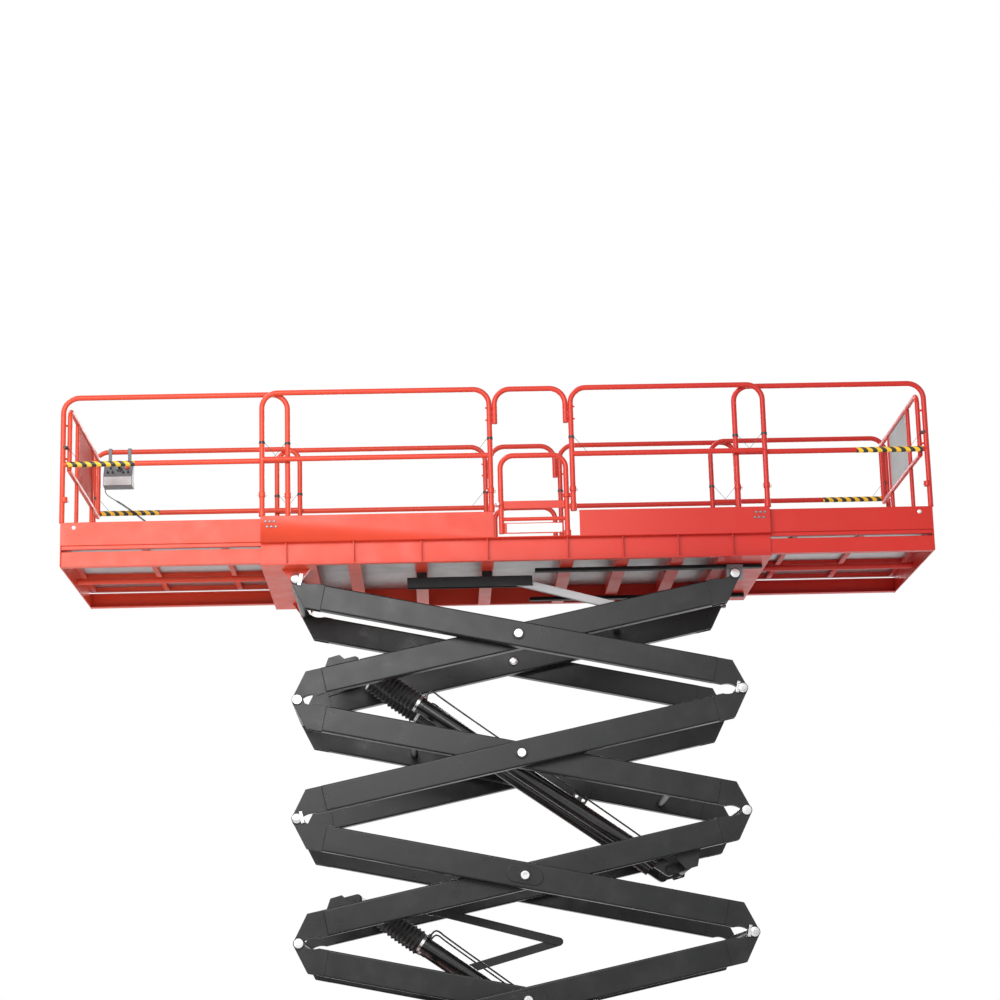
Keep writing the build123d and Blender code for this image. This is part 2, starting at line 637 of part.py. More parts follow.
for name, out, x_end, deck_end in (("front", -1, deck_x0 - front_reach, deck_x0),
                                   ("rear", 1, deck_x1 + rear_reach, deck_x1)):
    x_in = deck_end - out * extension_overlap
    x_leg = deck_end - out * leg_setback[name]
    x_toe = x_leg - out * 30
    lo, hi = sorted((x_in, x_end))
    toe_lo, toe_hi = sorted((x_toe, x_end))
    with BuildPart() as deck:
        for hand in (-1, 1):
            y0, y1, z0, z1 = beam
            section = [(y1, z0), (y1, z1), (y0, z1), (y0, z1 - plate), (y1 - plate, z1 - plate),
                       (y1 - plate, z0 + plate), (y0, z0 + plate), (y0, z0)]
            end_plate([(hand * y, deck_z + z) for y, z in section], lo, hi)
            toe = [(ext_toe[1], ext_floor - toe_plate), (ext_toe[1], ext_toe[2]),
                   (ext_toe[1] - 43, ext_toe[2]), (ext_toe[1] - 43, ext_toe[2] - toe_plate),
                   (ext_toe[0], ext_toe[2] - toe_plate), (ext_toe[0], ext_floor),
                   (ext_toe[0] - 30, ext_floor), (ext_toe[0] - 30, ext_floor - toe_plate)]
            end_plate([(hand * y, deck_z + z) for y, z in toe], toe_lo, toe_hi)
            for edge0, edge1 in ((beam[1] - 40, beam[1]), (260, 300)):
                y0, y1 = sorted((hand * edge0, hand * edge1))
                block(lo, hi, y0, y1, deck_z + ext_floor - rib_height, deck_z + ext_floor)
        ribs = 4
        for index in range(ribs):
            x = x_in + out * (30 + index * (abs(x_end - x_in) - 60) / (ribs - 1))
            block(x - 20, x + 20, -beam[1], beam[1], deck_z + ext_floor - rib_height, deck_z + ext_floor)
        end_lo, end_hi = sorted((x_end - out * plate, x_end))
        block(end_lo, end_hi, -ext_toe[1], ext_toe[1], deck_z + beam[2], deck_z + ext_toe[2])
        round_bar((x_in, 0, deck_z + guide_z), (x_end, 0, deck_z + guide_z), guide_radius)
    save(f"{name}_deck", deck.part)

    with BuildPart() as floor:
        f_lo, f_hi = sorted((x_in, x_end - out * plate))
        block(f_lo, f_hi, -ext_toe[0] + 0.5, ext_toe[0] - 0.5,
              deck_z + ext_floor, deck_z + ext_floor + ext_plate)
        if name == "front":
            # gland that takes the controls' cord
            round_bar((x_end + gland_reach, gland_lane, deck_z + ext_floor + ext_plate),
                      (x_end + gland_reach, gland_lane, deck_z + ext_floor + ext_plate + 17), 16)
    save(f"{name}_floor", floor.part)

    x_post = x_end - out * rail_inset
    with BuildPart() as rails:
        for hand in (-1, 1):
            y = hand * ext_lane
            guard_loop(x_leg, x_post, y, deck_z + ext_toe[2], deck_z + top_rail)
            round_bar((x_leg, y, deck_z + mid_rail), (x_post, y, deck_z + mid_rail), rail_radius)
            for x in (x_leg, x_post - out * 17):
                collar(x, y, deck_z + 545)
        x_end_guard = x_post - out * end_guard_inset
        bent_tube([(x_end_guard, -end_side, deck_z + end_mid), (x_end_guard, -end_side, deck_z + end_top),
                   (x_end_guard, end_side, deck_z + end_top), (x_end_guard, end_side, deck_z + end_mid)],
                  end_tube, 70)
        round_bar((x_end_guard, -end_side, deck_z + end_mid), (x_end_guard, end_side, deck_z + end_mid),
                  end_tube - 1)
        for hand in (-1, 1):
            y = hand * end_post_lane
            round_bar((x_end_guard, y, deck_z + ext_floor + ext_plate), (x_end_guard, y, deck_z + end_top),
                      end_tube - 2)
            for z in (900, 1170):
                round_bar((x_post, hand * ext_lane, deck_z + z), (x_end_guard, hand * end_side, deck_z + z),
                          8)
    save(f"{name}_rails", rails.part)

    with BuildPart() as panel:
        reach = end_post_lane - end_tube + 2 - pin_gap
        block(x_end_guard - 1.5, x_end_guard + 1.5, -reach, reach,
              deck_z + end_mid + end_tube - 1 + pin_gap, deck_z + end_top - end_tube - pin_gap)
    save(f"{name}_panel", panel.part)

# ---------------------------------------------------------------- platform controls
box_x = (deck_x0 - front_reach + 110, deck_x0 - front_reach + 355)
box_lane = 778
with BuildPart() as control_box:
    x0, x1 = box_x
    z0 = deck_z + 1052
    end_face_outline = [(box_lane - 95, z0), (box_lane + 40, z0), (box_lane + 40, z0 + 200),
                        (box_lane - 30, z0 + 200), (box_lane - 95, z0 + 90)]
    end_plate(end_face_outline, x0, x1)
    # hooks over the far side's guard rail
    hook_out = ext_lane + rail_radius + pin_gap
    hook_top = deck_z + top_rail + rail_radius + pin_gap
    strip = 4
    back = box_lane + 40
    for x in (x0 + 40, x1 - 40):
        hook = [(back, z0 + 120), (back + strip, z0 + 120), (back + strip, hook_top), (hook_out, hook_top),
                (hook_out, hook_top - 20), (hook_out + strip, hook_top - 20),
                (hook_out + strip, hook_top + strip), (back, hook_top + strip)]
        end_plate(hook, x - 15, x + 15)
save("control_box", control_box.part)

# cord from the box down to a gland on the extension's floor: its free run, then its curly stretch
cord_radius = 4
coil_radius = 10
cord_run = [(6, 758, 1051.7), (6, 758, 1022), (26, 762, 988), (106, 768, 938)]
coil_run = [(106, 768, 938), (154, 771.6, 908), (204, 773, 872), (296, 774, 800), (424, 775, 696),
            (580, 776, 566), (740, 777, 440), (872, 778, 348), (958, 778, 290), (1010, 778, 256),
            (1010, 778, 222.3)]


def cord_tube(route_points, radius):
    """A round tube along a cord's route, with arcs as large as its runs allow."""
    points = [(box_x[0] + x, y, deck_z + z) for x, y, z in route_points]
    radii = []
    for before, corner, after in zip(points, points[1:], points[2:]):
        run_in = Vector(*corner) - Vector(*before)
        run_out = Vector(*after) - Vector(*corner)
        half_turn = radians(run_in.get_angle(run_out)) / 2
        radii.append(0.45 * min(run_in.length, run_out.length) / sin(half_turn) * cos(half_turn))
    print("cord radii", [round(value) for value in radii])
    with BuildLine() as route:
        FilletPolyline(*points, radius=radii)
    with BuildSketch(Plane(origin=route.line @ 0, z_dir=route.line % 0)) as section:
        Circle(radius)
    sweep(sections=section.sketch, path=route.line)
    length = route.wire().length
    print("cord volume", round(pi * radius ** 2 * length), "length", round(length))


with BuildPart() as control_cord:
    cord_tube(cord_run, cord_radius)
save("control_cord", control_cord.part)
with BuildPart() as control_coil:
    cord_tube(coil_run, coil_radius)
save("control_coil", control_coil.part)
# ---------------------------------------------------------------- chassis
front_axle_x = centre_x - wheelbase / 2
rear_axle_x = centre_x + wheelbase / 2
chassis_end = outrigger_spread / 2
beam_lanes = (480, 620)
beam_z = (500, 690)
side_beam = (640, 760)
side_beam_z = (590, base_pin_z - pin_to_flange)
module_lanes = (800, 1120)
module_z = (330, 800)
module_half = 900
tray = 10
leg_half = 55                   # half of an outrigger leg's square section
end_beam = 70                   # half of an end beam's width
eye_lane = 350                  # lashing eyes on the end beams
eye_plate = 20
eye_radius = 18
eye_reach = 112                 # from an end beam's middle to the eye's
eye_z = 595
ladder_top = 1500

with BuildPart() as chassis:
    for hand in (-1, 1):
        y0, y1 = sorted((hand * beam_lanes[0], hand * beam_lanes[1]))
        block(centre_x - chassis_end, centre_x + chassis_end, y0, y1, *beam_z)
        # lugs of the bottom arms' front pins
        y0, y1 = sorted((hand * (inner_lane - 32), hand * (inner_lane + 32)))
        lug = [(left_x - 46, base_pin_z), (left_x + 46, base_pin_z),
               (left_x + 120, beam_z[1]), (left_x - 120, beam_z[1])]
        side_plate(lug, y0, y1)
        across(left_x, base_pin_z, y0, y1, 46)
        across(left_x, base_pin_z, y0 - 1, y1 + 1, end_pin_radius + pin_gap, Mode.SUBTRACT)
        # beam under the slide rail
        y0, y1 = sorted((hand * side_beam[0], hand * side_beam[1]))
        block(slide_start - 30, slide_end + 30, y0, y1, *side_beam_z)
        y0, y1 = sorted((hand * beam_lanes[1], hand * side_beam[0]))
        for x in (slide_start + 80, (slide_start + slide_end) / 2, slide_end - 80):
            block(x - 60, x + 60, y0, y1, side_beam_z[0] + 10, beam_z[1] - 10)
        # supports of the side modules
        y0, y1 = sorted((hand * beam_lanes[1], hand * module_lanes[1]))
        for x in (centre_x - module_half + 140, centre_x + module_half - 140):
            block(x - 50, x + 50, y0, y1, module_z[0] - 60, module_z[0])
            y2, y3 = sorted((hand * (beam_lanes[0] + 20), hand * (beam_lanes[1] + 60)))
            block(x - 50, x + 50, y2, y3, module_z[0] - 60, beam_z[0])
    for x in (centre_x - 1990, front_axle_x, centre_x - 700, centre_x + 100, rear_axle_x, centre_x + 1990):
        block(x - 60, x + 60, -beam_lanes[0], beam_lanes[0], beam_z[0] + 10, beam_z[1] - 30)
    # outrigger beams and the jacks' outer tubes
    for x in (centre_x - chassis_end, centre_x + chassis_end):
        block(x - end_beam, x + end_beam, -outrigger_lane, outrigger_lane, beam_z[0], beam_z[1])
        for hand in (-1, 1):
            y = hand * outrigger_lane
            block(x - 75, x + 75, y - 75, y + 75, beam_z[0] - 120, beam_z[1] + 190)
            block(x - leg_half - 0.3, x + leg_half + 0.3, y - leg_half - 0.3, y + leg_half + 0.3,
                  beam_z[0] - 130, beam_z[1] + 170, Mode.SUBTRACT)
    rail_bar(outer_lane, base_pin_z, -1)
save("chassis", chassis.part)

with BuildPart() as lashing_eyes:
    for out in (-1, 1):
        face = centre_x + out * (chassis_end + end_beam)
        eye_x = centre_x + out * (chassis_end + eye_reach)
        for hand in (-1, 1):
            y0, y1 = hand * eye_lane - eye_plate / 2, hand * eye_lane + eye_plate / 2
            side_plate([(face, eye_z - 48), (eye_x, eye_z - 36), (eye_x, eye_z + 36), (face, eye_z + 48)],
                       y0, y1)
            across(eye_x, eye_z, y0, y1, 2 * eye_radius)
            across(eye_x, eye_z, y0 - 1, y1 + 1, eye_radius, Mode.SUBTRACT)
save("lashing_eyes", lashing_eyes.part)

axle_z = tyre_radius
steer_arm = 110
tie_rod_radius = 14
tie_rod_z = axle_z - 75
steer_barrel = 250              # half length of the steering cylinder, whose rod is the tie rod
with BuildPart() as front_axle:
    block(front_axle_x - 70, front_axle_x + 70, -760, 760, axle_z - 65, axle_z + 65)
    for hand in (-1, 1):
        y0, y1 = sorted((hand * (beam_lanes[0] + 10), hand * (beam_lanes[1] - 10)))
        block(front_axle_x - 90, front_axle_x + 90, y0, y1, axle_z + 65, beam_z[0])
        y0, y1 = sorted((hand * 730, hand * 770))
        block(front_axle_x - 70, front_axle_x + 70, y0, y1, axle_z - 120, axle_z + 120)
        for z0, z1 in ((axle_z - 120, axle_z - 88), (axle_z + 88, axle_z + 120)):
            y0, y1 = sorted((hand * 760, hand * kingpin_lane))
            block(front_axle_x - 50, front_axle_x + 50, y0, y1, z0, z1)
            with BuildSketch(Plane.XY.offset(z0)) as eye:
                with Locations((front_axle_x, hand * kingpin_lane)):
                    Circle(50)
            extrude(eye.sketch, amount=z1 - z0)
            round_bar((front_axle_x, hand * kingpin_lane, z0 - 1),
                      (front_axle_x, hand * kingpin_lane, z1 + 1), 25 + pin_gap, Mode.SUBTRACT)
    # steering cylinder
    across(front_axle_x + steer_arm, tie_rod_z, -steer_barrel, steer_barrel, 38)
    for hand in (-1, 1):
        y0, y1 = sorted((hand * 170, hand * 210))
        block(front_axle_x + 60, front_axle_x + steer_arm, y0, y1, axle_z - 105, axle_z - 45)
    across(front_axle_x + steer_arm, tie_rod_z, -steer_barrel - 1, steer_barrel + 1,
           tie_rod_radius + pin_gap, Mode.SUBTRACT)

hub_face = wheel_lane + 33.7   # hub flanges end just short of the rims' discs
arm_z = (axle_z - 48, axle_z - 28)
for name, hand in (("near", -1), ("far", 1)):
    y = hand * kingpin_lane
    with BuildPart() as knuckle:
        round_bar((front_axle_x, y, axle_z - 126), (front_axle_x, y, axle_z + 126), 25)
        round_bar((front_axle_x, y, axle_z - 86), (front_axle_x, y, axle_z + 86), 48)
        across(front_axle_x, axle_z, y, hand * (hub_face - 8), 55)
        across(front_axle_x, axle_z, hand * (hub_face - 14), hand * hub_face, 105)
        with BuildSketch(Plane.XY.offset(arm_z[0])) as arm:
            with Locations((front_axle_x + steer_arm / 2, y)):
                SlotOverall(steer_arm + 44, 44)
        extrude(arm.sketch, amount=arm_z[1] - arm_z[0])
    save(f"knuckle_{name}", knuckle.part)

with BuildPart() as tie_rod:
    across(front_axle_x + steer_arm, tie_rod_z, -kingpin_lane, kingpin_lane, tie_rod_radius)
    for hand in (-1, 1):
        eye_end = arm_z[0] - pin_gap
        round_bar((front_axle_x + steer_arm, hand * kingpin_lane, tie_rod_z - tie_rod_radius + 4),
                  (front_axle_x + steer_arm, hand * kingpin_lane, eye_end), 22)
save("tie_rod", tie_rod.part)

with BuildPart() as rear_axle:
    block(rear_axle_x - 80, rear_axle_x + 80, -820, 820, axle_z - 75, axle_z + 75)
    for hand in (-1, 1):
        y0, y1 = sorted((hand * (beam_lanes[0] + 10), hand * (beam_lanes[1] - 10)))
        block(rear_axle_x - 100, rear_axle_x + 100, y0, y1, axle_z + 75, beam_z[0])
        across(rear_axle_x, axle_z, hand * 820, hand * hub_face, 110)
save("axles", Compound(children=[front_axle.part, rear_axle.part]))

half_tyre = tyre_width / 2
rim_radius = 205
lugs = 18                       # on each side of a tyre, one side half a step on from the other
lug_height = 26
groove_width = 72
groove_lean = 15
centre_rib = 8                  # half the band at a tyre's middle that the grooves leave whole
groove_turn = 2.6               # how far a groove's middle is turned on by its lean, in degrees

# half a tyre's section, from the bead to the crown: distance from the tyre's middle, radius
tyre_section = ((half_tyre - 22, rim_radius + 28), (half_tyre, rim_radius + 90),
                (half_tyre - 8, tyre_radius - 40), (half_tyre - 35, tyre_radius))
mirrored = [(-y, radius) for y, radius in tyre_section]

# one tyre with its middle at the origin and its outer side at -Y
with BuildPart() as tread:
    for y, radius in (*mirrored, *reversed(tyre_section)):
        with BuildSketch(Plane(origin=(0, y, 0), x_dir=(1, 0, 0), z_dir=(0, 1, 0))):
            RegularPolygon(radius, 2 * lugs)
    loft(ruled=True)
    Cylinder(rim_radius + 8, tyre_width, rotation=(90, 0, 0), mode=Mode.SUBTRACT)
    groove_length = half_tyre - centre_rib + 20
    for side in (-1, 1):
        first = 0.5 if side < 0 else 0
        spots = [Rotation(0, 360 / lugs * (index + first) + groove_turn, 0)
                 * Pos(0, side * (centre_rib + groove_length / 2), tyre_radius - lug_height + 30)
                 * Rotation(0, 0, -side * groove_lean) for index in range(lugs)]
        with Locations(*spots):
            Box(groove_width, groove_length, 60, mode=Mode.SUBTRACT)

for axle_name, axle_x in (("front", front_axle_x), ("rear", rear_axle_x)):
    for name, hand in (("near", -1), ("far", 1)):
        hub = Plane(origin=(axle_x, hand * wheel_lane, axle_z), x_dir=(0, hand, 0), z_dir=(1, 0, 0))
        axis = Axis((axle_x, hand * wheel_lane, axle_z), (0, 1, 0))
        tyre = tread.part if name == "near" else mirror(tread.part, about=Plane.XZ)
        save(f"tyre_{axle_name}_{name}", Pos(axle_x, hand * wheel_lane, axle_z) * tyre)
        with BuildPart() as rim:
            with BuildSketch(hub) as half_section:
                with BuildLine():
                    Polyline((-half_tyre + 12, rim_radius - 12), (-half_tyre + 12, rim_radius + 26),
                             (-half_tyre + 21, rim_radius + 26), (-half_tyre + 21, rim_radius + 7.7),
                             (half_tyre - 21, rim_radius + 7.7), (half_tyre - 21, rim_radius + 26),
                             (half_tyre - 12, rim_radius + 26), (half_tyre - 12, rim_radius - 12),
                             (50, rim_radius - 12), (46, 130), (46, 70), (34, 70), (34, rim_radius - 12),
                             close=True)
                make_face()
            revolve(half_section.sketch, axis=axis)
        save(f"rim_{axle_name}_{name}", rim.part)

for name, x in (("front", centre_x - chassis_end), ("rear", centre_x + chassis_end)):
    for side, hand in (("near", -1), ("far", 1)):
        y = hand * outrigger_lane
        with BuildPart() as leg:
            block(x - leg_half, x + leg_half, y - leg_half, y + leg_half, pad_height + 60, beam_z[1] + 120)
            with BuildSketch(Plane.XY.offset(pad_height)) as pad:
                with Locations((x, y)):
                    Circle(150)
            extrude(pad.sketch, amount=16)
            round_bar((x, y, pad_height + 16), (x, y, pad_height + 60), 50)
        save(f"outrigger_{name}_{side}", leg.part)

# ---------------------------------------------------------------- side modules
lid_x = (centre_x - module_half, centre_x - 240)
tank_x = (centre_x + 500, centre_x + module_half)
wall_top = module_z[1] - 8       # the lids close a millimetre above the walls
hinge_lane = module_lanes[0] + 4
hinge_z = module_z[1] + 3
hinge_radius = 8
hinge_pin = 3
hinge_stations = (lid_x[0] + 90, lid_x[1] - 90)
knuckle_half = 25                # half of a lid's hinge knuckle; the module's own stand on both sides of it
modules = []
for name, hand in (("near", -1), ("far", 1)):
    with BuildPart() as module:
        y0, y1 = sorted((hand * module_lanes[0], hand * module_lanes[1]))
        block(centre_x - module_half, centre_x + module_half, y0, y1, module_z[0], module_z[0] + tray)
        ywall0, ywall1 = sorted((hand * module_lanes[0], hand * (module_lanes[0] + tray)))
        block(*lid_x, ywall0, ywall1, module_z[0], wall_top)
        for x in (lid_x[0], lid_x[1] - tray):
            block(x, x + tray, y0, y1, module_z[0], wall_top)
        block(*tank_x, y0, y1, module_z[0], module_z[1])
        if name == "near":
            # batteries and pump as one plain block
            block(lid_x[0] + 60, lid_x[1] - 60, y0 + 50, y1 - 50, module_z[0] + tray, module_z[0] + 280)
        for station in hinge_stations:
            for x in (station - knuckle_half - 22, station + knuckle_half + 2):
                block(x, x + 20, ywall0, ywall1, wall_top - 10, hinge_z)
                round_bar((x, hand * hinge_lane, hinge_z), (x + 20, hand * hinge_lane, hinge_z),
                          hinge_radius)
            round_bar((station - knuckle_half - 22, hand * hinge_lane, hinge_z),
                      (station + knuckle_half + 22, hand * hinge_lane, hinge_z), hinge_pin)
        # ladder between the two compartments
        ladder_y0, ladder_y1 = sorted((hand * (module_lanes[1] - 40), hand * module_lanes[1]))
        for x in (centre_x - 120, centre_x + 380):
            block(x - 15, x + 15, ladder_y0, ladder_y1, module_z[0], ladder_top)
        for z in range(480, ladder_top, 260):
            block(centre_x - 120, centre_x + 380, ladder_y0, ladder_y1, z, z + 25)
    modules.append(module.part)

    with BuildPart() as lid:
        yo = module_lanes[1]
        section = [(hinge_lane + 10, module_z[1] - 4), (yo + 4, module_z[1] - 4), (yo + 4, module_z[0] + 30),
                   (yo + 1, module_z[0] + 30), (yo + 1, module_z[1] - 7), (hinge_lane + 10, module_z[1] - 7)]
        end_plate([(hand * y, z) for y, z in section], lid_x[0] + 3, lid_x[1] - 3)
        for station in hinge_stations:
            y0, y1 = sorted((hand * hinge_lane, hand * (hinge_lane + 30)))
            block(station - knuckle_half, station + knuckle_half, y0, y1, hinge_z - 8, hinge_z - 3)
            round_bar((station - knuckle_half, hand * hinge_lane, hinge_z),
                      (station + knuckle_half, hand * hinge_lane, hinge_z), hinge_radius)
            round_bar((station - knuckle_half - 1, hand * hinge_lane, hinge_z),
                      (station + knuckle_half + 1, hand * hinge_lane, hinge_z), hinge_pin + 0.05,
                      Mode.SUBTRACT)
    save(f"lid_{name}", lid.part)
save("modules", Compound(children=modules))

with BuildPart() as engine:
    block(lid_x[0] + 60, lid_x[1] - 60, module_lanes[0] + 40, module_lanes[1] - 40, module_z[0] + tray, 700)
save("engine_block", engine.part)
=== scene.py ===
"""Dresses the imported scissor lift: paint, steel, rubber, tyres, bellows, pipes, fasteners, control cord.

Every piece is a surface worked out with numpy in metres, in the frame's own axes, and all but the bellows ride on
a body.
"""
import json
import math

import bpy
import numpy as np
from mathutils import Matrix, Vector


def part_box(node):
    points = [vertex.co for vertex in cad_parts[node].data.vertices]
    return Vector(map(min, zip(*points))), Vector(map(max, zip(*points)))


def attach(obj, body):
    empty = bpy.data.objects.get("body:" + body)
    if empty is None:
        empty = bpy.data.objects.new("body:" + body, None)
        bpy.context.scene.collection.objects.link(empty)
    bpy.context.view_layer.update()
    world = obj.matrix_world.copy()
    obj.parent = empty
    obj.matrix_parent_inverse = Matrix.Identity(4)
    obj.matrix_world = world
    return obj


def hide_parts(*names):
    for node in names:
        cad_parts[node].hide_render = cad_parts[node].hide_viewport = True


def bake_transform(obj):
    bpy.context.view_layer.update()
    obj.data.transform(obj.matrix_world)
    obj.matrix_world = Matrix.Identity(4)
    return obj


bl_info = {
    "name": "Scissor lift dressing",
    "version": (1, 0, 0),
    "blender": (4, 5, 0),
    "location": "View3D > Sidebar > Lift",
    "description": "Adds the finishes and the small pieces of a rough-terrain scissor lift",
    "category": "Object",
}

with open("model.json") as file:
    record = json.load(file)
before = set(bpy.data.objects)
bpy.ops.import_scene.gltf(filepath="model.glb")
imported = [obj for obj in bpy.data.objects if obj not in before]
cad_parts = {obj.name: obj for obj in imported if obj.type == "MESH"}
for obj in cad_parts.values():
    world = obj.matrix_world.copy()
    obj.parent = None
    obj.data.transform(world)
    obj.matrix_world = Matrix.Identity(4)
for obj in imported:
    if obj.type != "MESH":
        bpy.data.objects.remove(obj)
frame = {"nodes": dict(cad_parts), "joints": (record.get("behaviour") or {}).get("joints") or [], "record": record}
NODES = frame["nodes"]
JOINTS = {joint["name"]: joint for joint in frame["joints"]}
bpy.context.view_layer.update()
# names with their direction along Y, and along X
SIDES = (("near", -1.0), ("far", 1.0))
ENDS = (("front", -1), ("rear", 1))
LEVELS = ("lower", "upper")
LAYERS = range(1, 6)
# height of the deck frame's lowest flange, from the top of its toe boards
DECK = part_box("platform_frame")[1].z - 0.390
DECK_ENDS = (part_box("platform_floor")[0].x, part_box("platform_floor")[1].x)
# radius at which a turned profile ends on its axis
TIP = 0.0001
# finishes by their short names, filled by the finishes operator
MATERIALS = {}


# ------------------------------------------------------------------ sizes and colours a user would change
class PaintSettings(bpy.types.PropertyGroup):
    """Colours of the sprayed paint, and how round its edges look"""
    platform: bpy.props.FloatVectorProperty(name="Platform paint", description="Colour of deck and rails",
                                            subtype="COLOR", default=(0.56, 0.022, 0.014), min=0, max=1)
    stack: bpy.props.FloatVectorProperty(name="Stack paint", description="Colour of the scissor arms",
                                         subtype="COLOR", default=(0.0075, 0.0077, 0.0080), min=0, max=1)
    # painted light: the platform paint's colour at the front end, lighter and more orange, standing in for the
    # brighter light on that end
    painted_light_front: bpy.props.FloatVectorProperty(name="Painted_light paint", description="Platform paint at the front end",
                                          subtype="COLOR", default=(0.78, 0.070, 0.028), min=0, max=1)
    edge_radius: bpy.props.FloatProperty(name="Edge radius", description="Rounding seen on painted edges",
                                         unit="LENGTH", default=0.006, min=0)


class TyreSettings(bpy.types.PropertyGroup):
    """Tread of the rough-terrain tyres"""
    lugs: bpy.props.IntProperty(name="Lugs", description="Tread lugs on each side of a tyre",
                                default=18, min=4)
    lug_height: bpy.props.FloatProperty(name="Lug height", description="Depth of the tread",
                                        unit="LENGTH", default=0.026, min=0)


class BellowsSettings(bpy.types.PropertyGroup):
    """Shape of the rubber bellows over the rods"""
    folds: bpy.props.IntProperty(name="Folds", description="Convolutions of a rod's bellows",
                                 default=13, min=3)
    depth: bpy.props.FloatProperty(name="Depth", description="Depth of a convolution",
                                   unit="LENGTH", default=0.013, min=0)


class CordSettings(bpy.types.PropertyGroup):
    """The control box's curly cord"""
    diameter: bpy.props.FloatProperty(name="Cord diameter", description="Outer diameter of the cord itself",
                                      unit="LENGTH", default=0.007, min=0.002)
    coil_radius: bpy.props.FloatProperty(name="Coil radius", description="From coil's axis to cord's axis",
                                         unit="LENGTH", default=0.0062, min=0.001)
    coil_pitch: bpy.props.FloatProperty(name="Coil pitch", description="Length of one turn along the coil",
                                        unit="LENGTH", default=0.0125, min=0.004)


class StageSettings(bpy.types.PropertyGroup):
    """Floor and lamps"""
    floor: bpy.props.FloatVectorProperty(name="Floor", description="Colour of the floor",
                                         subtype="COLOR", default=(0.86, 0.86, 0.85), min=0, max=1)
    key_strength: bpy.props.FloatProperty(name="Key light", description="Strength of the sun lamp",
                                          default=1.75, min=0)
    panel_power: bpy.props.FloatProperty(name="Panels", description="Watts of a square metre of wide lamp",
                                         default=26.0, min=0)
    sky_strength: bpy.props.FloatProperty(name="Sky", description="Strength of the even light",
                                          default=0.20, min=0)


SETTINGS = {"paint": PaintSettings, "tyres": TyreSettings, "bellows": BellowsSettings,
            "cord": CordSettings, "stage": StageSettings}


def settings(group):
    """The scene's values of one group."""
    return getattr(bpy.context.scene, f"lift_{group}")


# ------------------------------------------------------------------ surfaces
def ramp(value, zero, one):
    """0 on one side of a value, 1 on the other side of a second one, straight between them."""
    return np.clip((value - zero) / (one - zero), 0, 1)


def circle(sides):
    """The angles of evenly spaced points round a circle."""
    return np.linspace(0, 2 * math.pi, sides, endpoint=False)


def sideways(distance):
    """A step across the machine."""
    return np.array([0.0, distance, 0.0])


def grid_faces(rows, columns):
    """Faces of a rows by columns grid of points whose last column joins its first."""
    row, column = np.meshgrid(np.arange(rows - 1), np.arange(columns), indexing="ij")
    after = (column + 1) % columns
    quad = np.stack([row * columns + column, row * columns + after,
                     (row + 1) * columns + after, (row + 1) * columns + column], axis=-1)
    return quad.reshape(-1, 4)


def frames_along(path):
    """Unit side and up vectors at each point of a path, from the path's direction and a fixed reference."""
    path = np.asarray(path, float)
    heading = np.gradient(path, axis=0)
    heading /= np.linalg.norm(heading, axis=1, keepdims=True)
    reference = np.eye(3)[int(np.argmin(np.abs(heading).mean(axis=0)))]
    side = np.cross(heading, reference)
    side /= np.linalg.norm(side, axis=1, keepdims=True)
    return side, np.cross(side, heading)


def tube(path, radius, sides=10):
    """A circle carried along a path, with a fan of faces over each end."""
    path = np.asarray(path, float)
    side, up = frames_along(path)
    turn = circle(sides)
    ring = np.cos(turn)[None, :, None] * side[:, None, :] + np.sin(turn)[None, :, None] * up[:, None, :]
    points = (path[:, None, :] + radius * ring).reshape(-1, 3)
    faces = grid_faces(len(path), sides)
    middles = np.array([path[0], path[-1]])
    first = np.arange(sides)
    count = len(points)
    start = np.stack([first, np.full(sides, count), (first + 1) % sides], axis=1)
    base = (len(path) - 1) * sides
    end = np.stack([base + first, base + (first + 1) % sides, np.full(sides, count + 1)], axis=1)
    return np.vstack([points, middles]), [*faces, *start, *end]


def turned(centre, axis, profile, sides=32):
    """A profile of (distance along the axis, radius) turned about an axis through centre."""
    axis = np.asarray(axis, float) / np.linalg.norm(axis)
    path = np.asarray(centre, float) + np.array([[distance] for distance, _ in profile]) * axis
    reference = np.eye(3)[int(np.argmin(np.abs(axis)))]
    side = np.cross(axis, reference)
    side /= np.linalg.norm(side)
    up = np.cross(side, axis)
    turn = circle(sides)
    ring = np.cos(turn)[:, None] * side + np.sin(turn)[:, None] * up
    radii = np.array([radius for _, radius in profile])
    points = (path[:, None, :] + radii[:, None, None] * ring[None]).reshape(-1, 3)
    return points, grid_faces(len(profile), sides)


def bolt_head(centre, axis, across):
    """A hexagon head over a round washer: two turned profiles, one of six sides."""
    half = across / 2
    washer = [(0, TIP), (0, half * 1.25), (half * 0.25, half * 1.25), (half * 0.25, TIP)]
    head = [(half * 0.25, half * 1.1), (half * 0.95, half * 1.1), (half * 1.1, half * 0.95),
            (half * 1.1, TIP)]
    return joined([turned(centre, axis, washer, 20), turned(centre, axis, head, 6)])


def slab(low, high):
    """A rectangular bar between two corners."""
    low, high = np.minimum(low, high), np.maximum(low, high)
    corner = np.array([(x, y, z) for x in (0, 1) for y in (0, 1) for z in (0, 1)], float)
    points = low + corner * (high - low)
    return points, [(0, 1, 3, 2), (4, 6, 7, 5), (0, 4, 5, 1), (2, 3, 7, 6), (0, 2, 6, 4), (1, 5, 7, 3)]


def ring_tube(loop, radius, sides=6):
    """A circle carried round a closed flat loop of points, joined end to end."""
    loop = np.asarray(loop, float)
    heading = np.roll(loop, -1, axis=0) - np.roll(loop, 1, axis=0)
    heading /= np.linalg.norm(heading, axis=1, keepdims=True)
    flat = np.cross(loop[1] - loop[0], loop[len(loop) // 2] - loop[0])
    flat /= np.linalg.norm(flat)
    side = np.cross(heading, flat)
    turn = circle(sides)
    ring = np.cos(turn)[None, :, None] * side[:, None, :] + np.sin(turn)[None, :, None] * flat
    points = (loop[:, None, :] + radius * ring).reshape(-1, 3)
    return points, grid_faces(len(loop) + 1, sides) % len(points)


